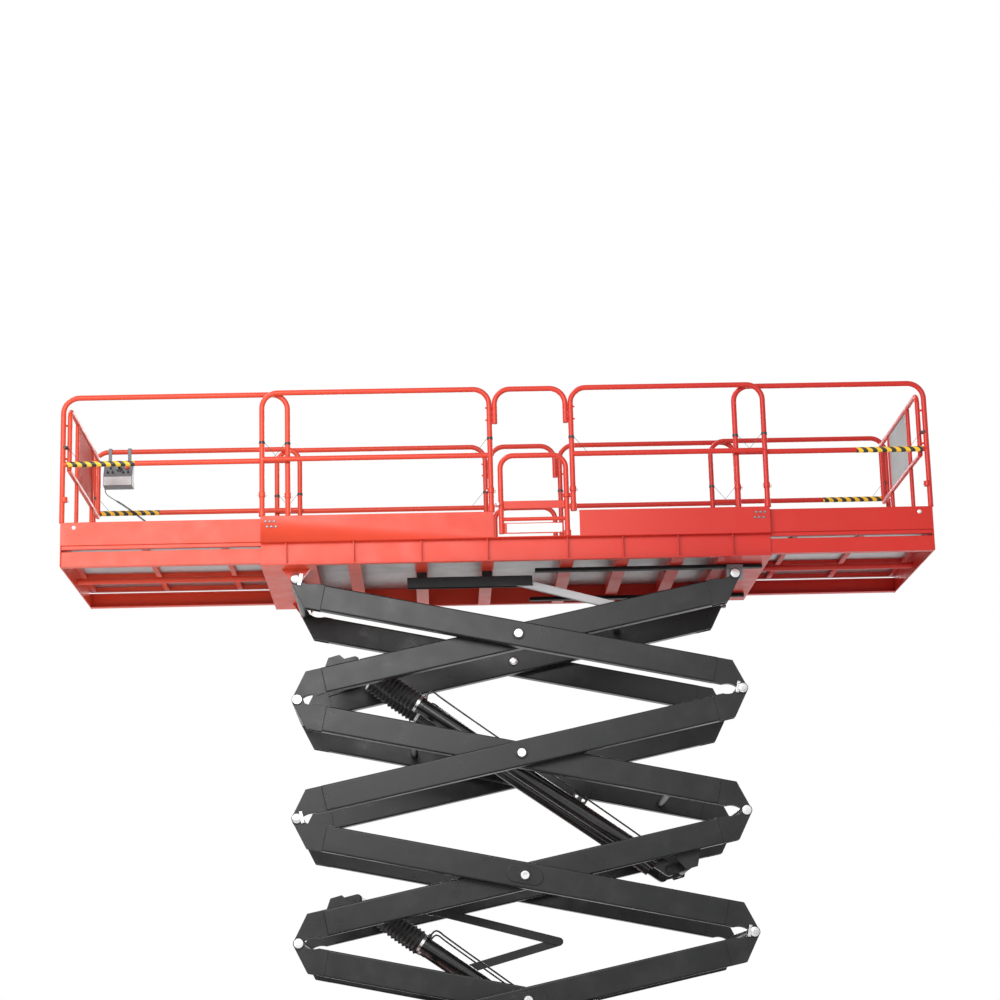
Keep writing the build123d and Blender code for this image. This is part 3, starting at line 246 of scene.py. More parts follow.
def joined(shapes):
    """Several surfaces as one set of points and faces."""
    points, faces, shift = [], [], 0
    for shape_points, shape_faces in shapes:
        points.append(shape_points)
        rows = np.asarray(shape_faces, object).tolist()
        faces.extend([[index + shift for index in row] for row in rows])
        shift += len(shape_points)
    return np.vstack(points), faces


def piece(name, shape, material, body, smooth=True, bevel=0.0):
    """An object from points and faces, with its material, finish slot and the body it rides on, if any."""
    points, faces = shape
    mesh = bpy.data.meshes.new(name)
    mesh.from_pydata(np.asarray(points, float).tolist(), [], [list(map(int, face)) for face in faces])
    mesh.polygons.foreach_set("use_smooth", [smooth] * len(mesh.polygons))
    mesh.materials.append(MATERIALS[material])
    mesh.update()
    made = bpy.data.objects.new(name, mesh)
    bpy.context.scene.collection.objects.link(made)
    if bevel:
        rounding = made.modifiers.new("rounding", "BEVEL")
        rounding.width = bevel
        rounding.segments = 2
        rounding.limit_method = "ANGLE"
    if smooth:
        bpy.context.view_layer.objects.active = made
        made.select_set(True)
        bpy.ops.object.shade_smooth_by_angle(angle=math.radians(35), keep_sharp_edges=True)
        made.select_set(False)
    if body:
        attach(made, body)
    return made


# ------------------------------------------------------------------ materials
class Shader:
    """A material's node tree with short calls for the nodes that this file uses."""

    def __init__(self, name):
        """Starts from a plain surface; where is the place on the object, in metres."""
        self.material = bpy.data.materials.new(name)
        self.material.use_nodes = True
        self.tree = self.material.node_tree
        self.surface = self.tree.nodes["Principled BSDF"]
        self.where = self.node("ShaderNodeTexCoord").outputs["Object"]

    def node(self, kind, **values):
        """A new node with its settings."""
        made = self.tree.nodes.new(kind)
        for key, value in values.items():
            setattr(made, key, value)
        return made

    def link(self, source, target):
        """Feeds an input from another node's output, or sets it to a value."""
        if hasattr(source, "node"):
            self.tree.links.new(source, target)
        else:
            target.default_value = source

    def math(self, operation, first, second=0.0):
        """One sum of two values, each an output or a number."""
        made = self.node("ShaderNodeMath", operation=operation)
        for value, socket in zip((first, second), made.inputs):
            self.link(value, socket)
        return made.outputs[0]

    def noise(self, scale, detail, roughness=0.5):
        """Soft clouds from 0 to 1, about as many to the metre as scale says."""
        made = self.node("ShaderNodeTexNoise")
        made.inputs["Scale"].default_value = scale
        made.inputs["Detail"].default_value = detail
        made.inputs["Roughness"].default_value = roughness
        self.link(self.where, made.inputs["Vector"])
        return made.outputs["Fac"]

    def spread(self, value, low, high, to_low, to_high):
        """A straight line from one range to another, held at its ends."""
        made = self.node("ShaderNodeMapRange", clamp=True)
        for given, socket in zip((value, low, high, to_low, to_high), made.inputs):
            self.link(given, socket)
        return made.outputs[0]

    def tint(self, colour, socket):
        """A colour given as a socket or as three numbers."""
        self.link(colour if hasattr(colour, "node") else (*colour, 1.0), socket)

    def blend(self, factor, first, second):
        """The first colour at a factor of 0, the second at 1."""
        made = self.node("ShaderNodeMix", data_type="RGBA")
        self.link(factor, made.inputs["Factor"])
        self.tint(first, made.inputs["A"])
        self.tint(second, made.inputs["B"])
        return made.outputs["Result"]

    def axis(self, letter):
        """The place along X, Y or Z."""
        parts = self.node("ShaderNodeSeparateXYZ")
        self.link(self.where, parts.inputs[0])
        return parts.outputs[letter]

    def relief(self, height, distance, strength, radius=0.0):
        """Bump from a height, over edges that are shown rounded."""
        bump = self.node("ShaderNodeBump")
        bump.inputs["Strength"].default_value = strength
        bump.inputs["Distance"].default_value = distance
        self.link(height, bump.inputs["Height"])
        if radius:
            rounded = self.node("ShaderNodeBevel", samples=4)
            rounded.inputs["Radius"].default_value = radius
            self.link(rounded.outputs[0], bump.inputs["Normal"])
        self.link(bump.outputs[0], self.surface.inputs["Normal"])

    def finish(self, colour, roughness, metallic=0.0, coat=0.0):
        """Sets the surface's colour and gloss, and gives the finished material."""
        self.tint(colour, self.surface.inputs["Base Color"])
        self.link(roughness, self.surface.inputs["Roughness"])
        self.surface.inputs["Metallic"].default_value = metallic
        self.surface.inputs["Coat Weight"].default_value = coat
        return self.material


def shade(colour, factor):
    """A colour made darker or lighter by a factor."""
    return tuple(min(1.0, channel * factor) for channel in colour)


def coat_of_paint(name, colour, roughness, dust=0.08, coat=0.0, gloss=0.5, painted_light_front=None):
    """Sprayed paint: slow colour drift, a fine orange peel, dust that dulls it in patches.

    The front-end colour is a painted light: the paint turns lighter and more orange towards the front end,
    standing in for the brighter light there.
    """
    shader = Shader(name)
    drift = shader.noise(1.7, 3)
    patches = shader.noise(6.0, 5, 0.6)
    if painted_light_front:
        # painted light: along X the paint turns from the lighter front colour at the front end to its own colour
        # at the rear
        painted_light_ramp = shader.spread(shader.axis("X"), -1.6, 1.6, 0, 1)
        colour = shader.blend(painted_light_ramp, painted_light_front, colour)
        base = shader.blend(shader.spread(drift, 0.3, 0.7, 0.1, 0), colour, (0.1, 0.004, 0.002))
    else:
        base = shader.blend(shader.spread(drift, 0.3, 0.7, 0, 1), shade(colour, 0.9), shade(colour, 1.07))
    dusted = shader.blend(shader.spread(patches, 0.5, 0.8, 0, dust), base, (0.30, 0.29, 0.27))
    shader.surface.inputs["Specular IOR Level"].default_value = gloss
    dull = shader.spread(patches, 0.3, 0.8, roughness * 0.85, min(1.0, roughness * 1.35))
    shader.relief(shader.noise(420, 1), 0.0004, 0.25, settings("paint").edge_radius)
    return shader.finish(dusted, dull, 0.0, coat)


def bare_metal(name, colour, roughness, streaks=0.3):
    """Bare or plated metal: grain drawn along X, with duller patches."""
    shader = Shader(name)
    stretched = shader.node("ShaderNodeMapping")
    stretched.inputs["Scale"].default_value = (2, 90, 90)
    shader.link(shader.where, stretched.inputs["Vector"])
    grain = shader.node("ShaderNodeTexNoise")
    grain.inputs["Scale"].default_value = 6
    shader.link(stretched.outputs[0], grain.inputs["Vector"])
    patches = shader.noise(9, 4)
    base = shader.blend(shader.spread(patches, 0.3, 0.75, 0, 1), colour, shade(colour, 0.75))
    drawn = grain.outputs["Fac"]
    dull = shader.spread(drawn, 0.2, 0.8, roughness * (1 - streaks), roughness * (1 + streaks))
    shader.relief(drawn, 0.0002, 0.2, 0.002)
    return shader.finish(base, dull, 1.0)


def moulded(name, colour, roughness, grain=900, height=0.0002):
    """Moulded rubber or plastic: fine grain, greyed a little where it is handled."""
    shader = Shader(name)
    patches = shader.noise(5, 4)
    base = shader.blend(shader.spread(patches, 0.35, 0.75, 0, 1), colour, shade(colour, 1.5))
    dull = shader.spread(patches, 0.3, 0.7, roughness * 0.9, min(1.0, roughness * 1.15))
    shader.relief(shader.noise(grain, 1), height, 0.4, 0.002)
    return shader.finish(base, dull)


def chequer_plate(name, colour):
    """Raised lozenges that alternate between two diagonals, over worn bare metal."""
    shader = Shader(name)
    cell, slimness = 0.034, 3.6
    x = shader.math("DIVIDE", shader.axis("X"), cell)
    y = shader.math("DIVIDE", shader.axis("Y"), cell)
    across = shader.math("SUBTRACT", shader.math("FRACT", shader.math("ADD", x, y)), 0.5)
    along = shader.math("SUBTRACT", shader.math("FRACT", shader.math("SUBTRACT", x, y)), 0.5)
    steps = shader.math("ADD", shader.math("FLOOR", shader.math("ADD", x, y)),
                        shader.math("FLOOR", shader.math("SUBTRACT", x, y)))
    odd = shader.math("PINGPONG", steps, 1.0)
    first = shader.math("ADD", shader.math("ABSOLUTE", across),
                        shader.math("MULTIPLY", shader.math("ABSOLUTE", along), slimness))
    second = shader.math("ADD", shader.math("ABSOLUTE", along),
                         shader.math("MULTIPLY", shader.math("ABSOLUTE", across), slimness))
    picked = shader.math("ADD", shader.math("MULTIPLY", first, odd),
                         shader.math("MULTIPLY", second, shader.math("SUBTRACT", 1.0, odd)))
    raised = shader.spread(picked, 0.30, 0.46, 1.0, 0.0)
    patches = shader.noise(4, 5, 0.6)
    worn = shader.blend(shader.spread(patches, 0.3, 0.7, 0, 1), colour, shade(colour, 0.78))
    bright = shader.blend(shader.math("MULTIPLY", raised, 0.35), worn, (0.9, 0.9, 0.9))
    shader.relief(raised, 0.0022, 0.9, 0.002)
    return shader.finish(bright, shader.spread(patches, 0.3, 0.7, 0.32, 0.5), 0.85)


def hazard_stripes(name):
    """Yellow and black bands, slanted against all three axes."""
    shader = Shader(name)
    pair = 0.075
    climb = shader.math("ADD", shader.axis("X"), shader.math("ADD", shader.axis("Z"), shader.axis("Y")))
    band = shader.math("GREATER_THAN", shader.math("FRACT", shader.math("DIVIDE", climb, pair)), 0.5)
    shader.relief(shader.noise(60, 2), 0.0003, 0.3)
    return shader.finish(shader.blend(band, (0.90, 0.52, 0.02), (0.02, 0.02, 0.02)), 0.4)


class LIFT_OT_finishes(bpy.types.Operator):
    """Makes the finishes and gives each carried-over CAD node its own"""
    bl_idname = "lift.finishes"
    bl_label = "Finishes"

    def execute(self, context):
        paint = settings("paint")
        made = MATERIALS
        # the platform paint carries a painted light, lighter and more orange towards the front end
        made["platform"] = coat_of_paint("platform_paint", tuple(paint.platform), 0.34, 0.02, gloss=0.32,
                                         painted_light_front=tuple(paint.painted_light_front))
        made["stack"] = coat_of_paint("stack_paint", tuple(paint.stack), 0.30, 0.03, gloss=0.34)
        made["dark"] = coat_of_paint("dark_paint", (0.010, 0.010, 0.011), 0.5, gloss=0.25)
        made["cylinder"] = coat_of_paint("cylinder_paint", (0.007, 0.007, 0.0075), 0.18, 0.03)
        made["link_grey"] = coat_of_paint("link_paint", (0.50, 0.50, 0.51), 0.42, 0.05)
        made["rim"] = coat_of_paint("rim_paint", (0.62, 0.62, 0.61), 0.38, 0.12, coat=0.1)
        made["blank"] = coat_of_paint("blank_plate", (0.74, 0.74, 0.73), 0.35, 0.04)
        made["chrome"] = bare_metal("rod_chrome", (0.82, 0.82, 0.83), 0.09, 0.2)
        made["steel"] = bare_metal("bright_steel", (0.66, 0.66, 0.67), 0.28)
        made["zinc"] = bare_metal("zinc_plate", (0.72, 0.71, 0.68), 0.34)
        made["iron"] = bare_metal("slider_iron", (0.20, 0.20, 0.21), 0.42)
        made["bellows"] = moulded("bellows_rubber", (0.012, 0.012, 0.012), 0.5)
        made["hose"] = moulded("hose_rubber", (0.015, 0.015, 0.015), 0.42)
        made["tyre"] = moulded("tyre_rubber", (0.022, 0.022, 0.022), 0.72, 300, 0.0006)
        made["box"] = moulded("box_plastic", (0.14, 0.145, 0.15), 0.5)
        made["pale"] = moulded("pale_plastic", (0.55, 0.55, 0.54), 0.45)
        made["cord"] = moulded("cord_sheath", (0.012, 0.012, 0.012), 0.48)
        made["floor_plate"] = chequer_plate("chequer_plate", (0.55, 0.56, 0.57))
        made["hazard"] = hazard_stripes("hazard_bands")
        by_slot = {"platform_paint": "platform", "chassis_paint": "platform", "cover_plastic": "platform",
                   "stack_paint": "stack", "dark_paint": "dark", "floor_plate": "floor_plate",
                   "steel": "steel", "cylinder_paint": "cylinder", "rod_chrome": "chrome",
                   "bellows_rubber": "bellows", "link_paint": "stack", "top_link_paint": "link_grey",
                   "tyre_rubber": "tyre", "rim_paint": "rim", "box_plastic": "box", "cord_sheath": "cord",
                   "slider_steel": "iron", "panel_paint": "platform", "panel_grey": "link_grey"}
        for part in frame["record"]["subparts"]:
            node = NODES[part["node"]]
            finish = made[by_slot[part["material_slot"]]]
            for slot in node.material_slots:
                slot.material = finish
            if not node.material_slots:
                node.data.materials.append(finish)
        return {"FINISHED"}


# ------------------------------------------------------------------ camera and control cord
# the camera's place in metres, its turns in radians, and its lens and sensor in millimetres
EYE = (-0.525, -19.066, 1.693)
YAW, PITCH, ROLL = 0.0296, 0.2353, -0.026
LENS, SENSOR = 86.03, 36.0


class LIFT_OT_camera(bpy.types.Operator):
    """Places the camera low and far out on the near side, looking up at the platform"""
    bl_idname = "lift.camera"
    bl_label = "Camera"

    def execute(self, context):
        ahead = Vector((math.sin(YAW) * math.cos(PITCH), math.cos(YAW) * math.cos(PITCH), math.sin(PITCH)))
        level = Vector((math.cos(YAW), -math.sin(YAW), 0))
        above = level.cross(ahead)
        right = math.cos(ROLL) * level + math.sin(ROLL) * above
        top = -math.sin(ROLL) * level + math.cos(ROLL) * above
        lens = bpy.data.cameras.new("camera")
        lens.lens = LENS
        lens.sensor_width = SENSOR
        lens.clip_end = 200
        camera = bpy.data.objects.new("camera", lens)
        context.scene.collection.objects.link(camera)
        axes = Matrix((right, top, -ahead)).transposed().to_4x4()
        camera.matrix_world = Matrix.Translation(EYE) @ axes
        context.scene.camera = camera
        return {"FINISHED"}


def smooth_route(name, points):
    """Points along the NURBS line that has the given control points."""
    curve = bpy.data.curves.new(name, "CURVE")
    curve.dimensions = "3D"
    curve.resolution_u = 24
    spline = curve.splines.new("NURBS")
    spline.points.add(len(points) - 1)
    spline.points.foreach_set("co", [value for point in points for value in (*point, 1.0)])
    spline.order_u = 3
    spline.use_endpoint_u = True
    holder = bpy.data.objects.new(name, curve)
    bpy.context.scene.collection.objects.link(holder)
    bpy.context.view_layer.update()
    line = bpy.data.meshes.new_from_object(holder)
    values = np.zeros(len(line.vertices) * 3)
    line.vertices.foreach_get("co", values)
    bpy.data.objects.remove(holder)
    return values.reshape(-1, 3)


def even_steps(line, step):
    """The same line as evenly spaced points, with each point's distance from the start."""
    reach = np.concatenate([[0], np.cumsum(np.linalg.norm(np.diff(line, axis=0), axis=1))])
    count = max(2, int(round(reach[-1] / step)) + 1)
    at = np.linspace(0, reach[-1], count)
    return np.stack([np.interp(at, reach, line[:, k]) for k in range(3)], axis=1), at


class LIFT_OT_control_cord(bpy.types.Operator):
    """The control box's cord: a short free run, then a curly stretch down to its gland"""
    bl_idname = "lift.control_cord"
    bl_label = "Control cord"

    def execute(self, context):
        values = settings("cord")
        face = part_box("control_box")[0].x
        # the route's points: x from the box's front-end face, z over the deck's lowest flange
        route = [(0.006, 0.758, 1.0517), (0.006, 0.758, 1.022), (0.026, 0.762, 0.988), (0.106, 0.768, 0.938),
                 (0.154, 0.7716, 0.908), (0.204, 0.773, 0.872), (0.296, 0.774, 0.800), (0.424, 0.775, 0.696),
                 (0.580, 0.776, 0.566), (0.740, 0.777, 0.440), (0.872, 0.778, 0.348), (0.958, 0.778, 0.290),
                 (1.010, 0.778, 0.256), (1.010, 0.778, 0.2223)]
        line = smooth_route("cord_route", [(face + x, y, DECK + z) for x, y, z in route])
        turn_points = 14
        centre, at = even_steps(line, values.coil_pitch / turn_points)
        side, up = frames_along(centre)
        # the coil opens after the free run and closes just before the gland
        free_run, straight_end, settle = 0.14, 0.012, 0.03
        opening = ramp(at, free_run, free_run + settle)
        closing = ramp(at[-1] - at, straight_end, straight_end + settle)
        size = values.coil_radius * opening * closing
        angle = 2 * math.pi * at / values.coil_pitch
        path = centre + size[:, None] * (np.cos(angle)[:, None] * side + np.sin(angle)[:, None] * up)
        made = piece("control_cord_curly", tube(path, values.diameter / 2, 8), "cord",
                     "front_extension")
        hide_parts("control_cord", "control_coil")
        return {"FINISHED"}


# ------------------------------------------------------------------ tyres, rims and hubs
class LIFT_OT_tyres(bpy.types.Operator):
    """Lugged rough-terrain tyres with wheel nuts and hub caps"""
    bl_idname = "lift.tyres"
    bl_label = "Tyres"

    def execute(self, context):
        for end, _ in ENDS:
            for side, hand in SIDES:
                low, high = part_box(f"tyre_{end}_{side}")
                centre = np.array((low + high) / 2)
                shape = self.tread(centre, hand, (high.z - low.z) / 2, (high.y - low.y) / 2)
                made = piece(f"tread_{end}_{side}", shape, "tyre", f"wheel_{end}_{side}")
                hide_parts(f"tyre_{end}_{side}")
                self.nuts(end, side, hand, centre)
        return {"FINISHED"}

    def tread(self, centre, hand, outer, half):
        """A tyre's skin: radius and sideways place by turn and by s, from inner bead over crown to outer."""
        values = settings("tyres")
        around, across = 480, 56
        bead, wall_start, lug_share = outer * 0.515, 0.571, 0.93
        turn = circle(around)
        s = np.linspace(-1, 1, across)
        # nearly flat over the crown, widest at mid-wall, then in to the bead
        width = half * np.sign(s) * np.clip(np.abs(s) * 1.75, 0, 1) ** 0.9
        sidewall = ramp(np.abs(s), wall_start, 1)
        bulge = 1 - 0.13 * ramp(sidewall, 0.55, 1) ** 2 - 0.06 * ramp(sidewall, 0.25, 0) * (np.abs(s) > 0.4)
        crown = outer - values.lug_height - 0.012 * (np.abs(width) / half) ** 4
        radius = crown + (bead - crown) * sidewall ** 1.15
        lug = self.lugs(turn, s, 2 * math.pi / values.lugs)
        bars = radius[None, :] + values.lug_height * lug * lug_share
        spread = (width * bulge)[None, :] * (1 + 0.012 * lug * (sidewall > 0)[None, :])
        spread = np.clip(spread, -half, half)
        points = np.stack([centre[0] + bars * np.sin(turn)[:, None],
                           centre[1] + hand * spread,
                           centre[2] + bars * np.cos(turn)[:, None]], axis=-1)
        # an inner ring closes the tyre against its rim
        seat, seat_half = bead * 0.985, half * 0.80
        inner = np.stack([np.stack([centre[0] + seat * np.sin(turn),
                                    centre[1] + hand * edge * np.ones(around),
                                    centre[2] + seat * np.cos(turn)], axis=-1)
                          for edge in (seat_half, -seat_half)], axis=1)
        grid = np.concatenate([points, inner], axis=1)
        rows, columns = grid.shape[:2]
        faces = grid_faces(rows + 1, columns) % (rows * columns)
        if hand < 0:
            faces = faces[:, ::-1]
        return grid.reshape(-1, 3), faces

    def lugs(self, turn, s, step):
        """Slanted bars from each shoulder, one side half a step on from the other, with a rib between."""
        lean = np.abs(s)[None, :] * 0.55 * step
        half_step = np.where(s > 0, 0.5 * step, 0)[None, :]
        phase = np.mod(turn[:, None] - lean - half_step, step) / step
        bar = ramp(np.abs(phase - 0.5), 0.27, 0.235)
        reach = ramp(np.abs(s), 0.03, 0.05) * ramp(np.abs(s), 0.66, 0.61)
        rib = ramp(np.abs(s), 0.024, 0.018)
        return np.maximum(bar * reach[None, :], rib[None, :])

    def nuts(self, end, side, hand, centre):
        """A ring of wheel nuts and a domed hub cap on the rim's disc."""
        face, bolt_circle = centre[1] + hand * 0.046, 0.098
        axis = (0, hand, 0)
        shapes = [bolt_head((centre[0] + bolt_circle * math.sin(turn), face,
                             centre[2] + bolt_circle * math.cos(turn)), axis, 0.030)
                  for turn in np.arange(8) * math.pi / 4]
        cap = [(0, 0.066), (0.018, 0.066), (0.05, 0.060), (0.062, 0.045), (0.064, TIP)]
        shapes.append(turned((centre[0], face - hand * 0.012, centre[2]), axis, cap, 40))
        piece(f"wheel_nuts_{end}_{side}", joined(shapes), "zinc", f"wheel_{end}_{side}")


# ------------------------------------------------------------------ bellows and cylinder pipes
def joint_point(name):
    """Where a hinge stands at rest."""
    return np.array(JOINTS[name]["pos_m"], float)


def cylinder_line(level):
    """A cylinder pair's rod eye, the direction from it down to the barrel's eye, and the square to that."""
    head = joint_point(f"rod_pivot_{level}")
    aim = np.array(JOINTS[f"cylinder_{level}"]["axis"], float)
    aim /= np.linalg.norm(aim)
    return head, aim, np.array([-aim[2], 0, aim[0]])


# distance of each cylinder from the machine's middle
CYLINDER_LANE = 0.300


class LIFT_OT_bellows(bpy.types.Operator):
    """Rubber bellows between each rod's eye and its barrel, with a clamp at the eye's end"""
    bl_idname = "lift.bellows"
    bl_label = "Bellows"

    def execute(self, context):
        values = settings("bellows")
        per_fold = 10
        # from the rod's eye along the rod
        start, length = 0.120, 0.475
        stop = start + length
        along = np.linspace(0, 1, values.folds * per_fold + 1)
        wave = 0.5 - 0.5 * np.cos(2 * math.pi * values.folds * along)
        crest = 0.066 + 0.014 * ramp(along, 0, 0.55)
        radius = crest + values.depth * (wave - 0.5)
        folds = list(zip(start + 0.006 + (length - 0.016) * along, radius))
        profile = [(start, 0.041), (start, 0.062), *folds, (stop, 0.071), (stop, 0.067)]
        clamp = [(start + 0.001, 0.060), (start + 0.001, 0.069), (start + 0.016, 0.069),
                 (start + 0.016, 0.060)]
        for level in LEVELS:
            head, aim, _ = cylinder_line(level)
            shapes, clamps = [], []
            for _, hand in SIDES:
                eye = head + sideways(hand * CYLINDER_LANE)
                shapes.append(turned(eye, aim, profile, 40))
                clamps.append(turned(eye, aim, clamp, 40))
            made = piece(f"bellows_{level}", joined(shapes), "bellows", None)
            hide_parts(f"boots_{level}")
            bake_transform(made)
            piece(f"bellows_clamps_{level}", joined(clamps), "zinc", f"lift_rods_{level}")
        return {"FINISHED"}


class LIFT_OT_cylinder_pipes(bpy.types.Operator):
    """The steel pipe that stands off each barrel, with its ports and the gland's ring"""
    bl_idname = "lift.cylinder_pipes"
    bl_label = "Cylinder pipes"

    def execute(self, context):
        # from the rod's eye: along the barrel, and off its axis
        gland = 0.595
        stand = [(gland + 0.03, 0.062), (gland + 0.03, 0.125), (gland + 0.06, 0.148), (gland + 0.14, 0.135),
                 (gland + 2.05, 0.100), (gland + 2.12, 0.085), (gland + 2.12, 0.060)]
        port = [(0, 0.021), (0.022, 0.021), (0.022, 0.014), (0.036, 0.014), (0.036, TIP)]
        ring = [(gland, 0.0665), (gland, 0.072), (gland + 0.022, 0.072), (gland + 0.022, 0.0665)]
        for level in LEVELS:
            head, aim, square = cylinder_line(level)
            pipes, rings = [], []
            for _, hand in SIDES:
                eye = head + sideways(hand * CYLINDER_LANE)
                line = smooth_route("pipe_route", [tuple(eye + aim * a + square * b) for a, b in stand])
                pipes.append(tube(even_steps(line, 0.02)[0], 0.007, 10))
                for along, _ in (stand[0], stand[-1]):
                    pipes.append(turned(eye + aim * along + square * 0.055, square, port, 6))
                rings.append(turned(eye, aim, ring, 44))
            piece(f"cylinder_pipe_{level}", joined(pipes), "cylinder", f"lift_barrels_{level}")
            piece(f"gland_ring_{level}", joined(rings), "steel", f"lift_barrels_{level}")
        return {"FINISHED"}


# ------------------------------------------------------------------ guard rails, gates and toe boards
# distance of the guard rails from the machine's middle, on the deck and on its extensions
RAIL_LANE, WING_LANE, RAIL_RADIUS = 0.894, 0.846, 0.021
# heights over the deck frame's lowest flange
MID_RAIL, FOLD_PIN = 0.850, 0.565


class LIFT_OT_hazard_sleeves(bpy.types.Operator):
    """Yellow and black sleeves on the outer ends of the extensions' middle rails"""
    bl_idname = "lift.hazard_sleeves"
    bl_label = "Hazard sleeves"

    def execute(self, context):
        length, outside, tip_setback = 0.53, RAIL_RADIUS + 0.0012, 0.054
        profile = [(0, RAIL_RADIUS), (0, outside), (length, outside), (length, RAIL_RADIUS)]
        for end, out in ENDS:
            low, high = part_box(f"{end}_rails")
            tip = (low.x if out < 0 else high.x) - out * tip_setback
            for side, hand in SIDES:
                sleeve = turned((tip, hand * WING_LANE, DECK + MID_RAIL), (-out, 0, 0), profile, 36)
                piece(f"hazard_sleeve_{end}_{side}", sleeve, "hazard", f"{end}_extension")
        return {"FINISHED"}


class LIFT_OT_guard_meshes(bpy.types.Operator):
    """Welded wire panels between the posts of the two end guards"""
    bl_idname = "lift.guard_meshes"
    bl_label = "Guard meshes"

    def execute(self, context):
        pitch, wire, edge = 0.0125, 0.0014, 0.006
        for end, material, slot in (("front", "platform", "panel_paint"),
                                    ("rear", "link_grey", "panel_grey")):
            low, high = (np.array(corner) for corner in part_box(f"{end}_panel"))
            x = (low[0] + high[0]) / 2
            bars = []
            for y in np.arange(low[1] + wire, high[1], pitch):
                bars.append(slab((x - 2 * wire, y - wire, low[2]), (x, y + wire, high[2])))
            for z in np.arange(low[2] + wire, high[2], pitch):
                bars.append(slab((x, low[1], z - wire), (x + 2 * wire, high[1], z + wire)))
            for y in (low[1], high[1] - edge):
                bars.append(slab((x - wire, y, low[2]), (x + wire, y + edge, high[2])))
            for z in (low[2], high[2] - edge):
                bars.append(slab((x - wire, low[1], z), (x + wire, high[1], z + edge)))
            made = piece(f"guard_mesh_{end}", joined(bars), material, f"{end}_extension", smooth=False)
            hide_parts(f"{end}_panel")
        return {"FINISHED"}


def fold_pin(x, y, z):
    """A plated pin through a post's fold, with a head and a ring at its ends."""
    reach, shank, ring = 0.037, 0.005, 0.011
    profile = [(0, TIP), (0, 0.009), (0.006, 0.009), (0.006, shank), (2 * reach, shank), (2 * reach, TIP)]
    turn = circle(16)
    eye = np.stack([np.full(len(turn), x + reach - 0.004), y + ring * np.sin(turn),
                    z - ring + ring * np.cos(turn)], axis=1)
    return joined([turned((x - reach, y, z), (1, 0, 0), profile, 12), ring_tube(eye, 0.0015)])


class LIFT_OT_rail_fittings(bpy.types.Operator):
    """Fold pins with their wire lanyards on every guard rail post"""
    bl_idname = "lift.rail_fittings"
    bl_label = "Rail fittings"

    def execute(self, context):
        for body, places in self.posts().items():
            pins, wires = [], []
            for index, (x, lane) in enumerate(places):
                # each pair of posts holds one rail, and both wires run along it
                towards = 1 if index % 2 == 0 else -1
                if body == "front_extension":
                    towards = -towards
                for _, hand in SIDES:
                    y = hand * lane
                    pins.append(fold_pin(x, y, DECK + FOLD_PIN))
                    wires += self.lanyard(x, y, towards)
            piece(f"fold_pins_{body}", joined(pins), "zinc", body)
            piece(f"lanyards_{body}", joined(wires), "hose", body)
        return {"FINISHED"}

    def posts(self):
        """The folding posts on each body, as (x, lane)."""
        inset, gate_front, gate_rear, bend = 0.012, -0.055, 0.588, 0.017
        found = {"platform": [(x, RAIL_LANE) for x in (DECK_ENDS[0] + inset, gate_front, gate_rear,
                                                       DECK_ENDS[1] - inset)]}
        for (end, out), setback in zip(ENDS, (0.210, 0.234)):
            low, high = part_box(f"{end}_rails")
            tip = (low.x + RAIL_RADIUS) if out < 0 else (high.x - RAIL_RADIUS)
            inner = DECK_ENDS[0] + setback if out < 0 else DECK_ENDS[1] - setback
            found[f"{end}_extension"] = [(inner, WING_LANE), (tip - out * bend, WING_LANE)]
        return found

    def lanyard(self, x, y, towards):
        """A taut wire from a clip on the post down to the middle rail, and the clip."""
        high_end = (x + towards * 0.022, y, DECK + 0.985)
        low_end = (x + towards * 0.115, y, DECK + MID_RAIL + RAIL_RADIUS)
        clip = [(0, RAIL_RADIUS), (0, 0.0235), (0.02, 0.0235), (0.02, RAIL_RADIUS)]
        return [tube([high_end, low_end], 0.0016, 6), turned((x, y, DECK + 0.975), (0, 0, 1), clip, 28)]


class LIFT_OT_gate_plates(bpy.types.Operator):
    """A bare white plate on each gate, its screws, and the gate's spring latch"""
    bl_idname = "lift.gate_plates"
    bl_label = "Gate plates"

    def execute(self, context):
        thick = 0.0015
        latch = [(0, 0.014), (0.012, 0.014), (0.014, 0.012), (0.014, 0.006), (0.034, 0.006), (0.036, 0.012),
                 (0.046, 0.012), (0.050, 0.008), (0.050, TIP)]
        for side, hand in SIDES:
            low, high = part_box(f"gate_{side}")
            x0, x1 = low.x + 0.088, high.x - 0.062
            face = hand * (RAIL_LANE + 0.002)
            plate = slab((x0, face, DECK + 0.222), (x1, face + hand * thick, DECK + 0.294))
            piece(f"gate_plate_{side}", plate, "blank", f"gate_leaf_{side}",
                  smooth=False, bevel=0.0006)
            metal = [bolt_head((x, face + hand * thick, DECK + z), (0, hand, 0), 0.008)
                     for x in (x0 + 0.012, x1 - 0.012) for z in (0.232, 0.284)]
            metal.append(turned((low.x + 0.020, hand * (RAIL_LANE + 0.008), DECK + 0.445), (0, hand, 0),
                                latch, 24))
            piece(f"gate_latch_{side}", joined(metal), "zinc", f"gate_leaf_{side}")
        return {"FINISHED"}


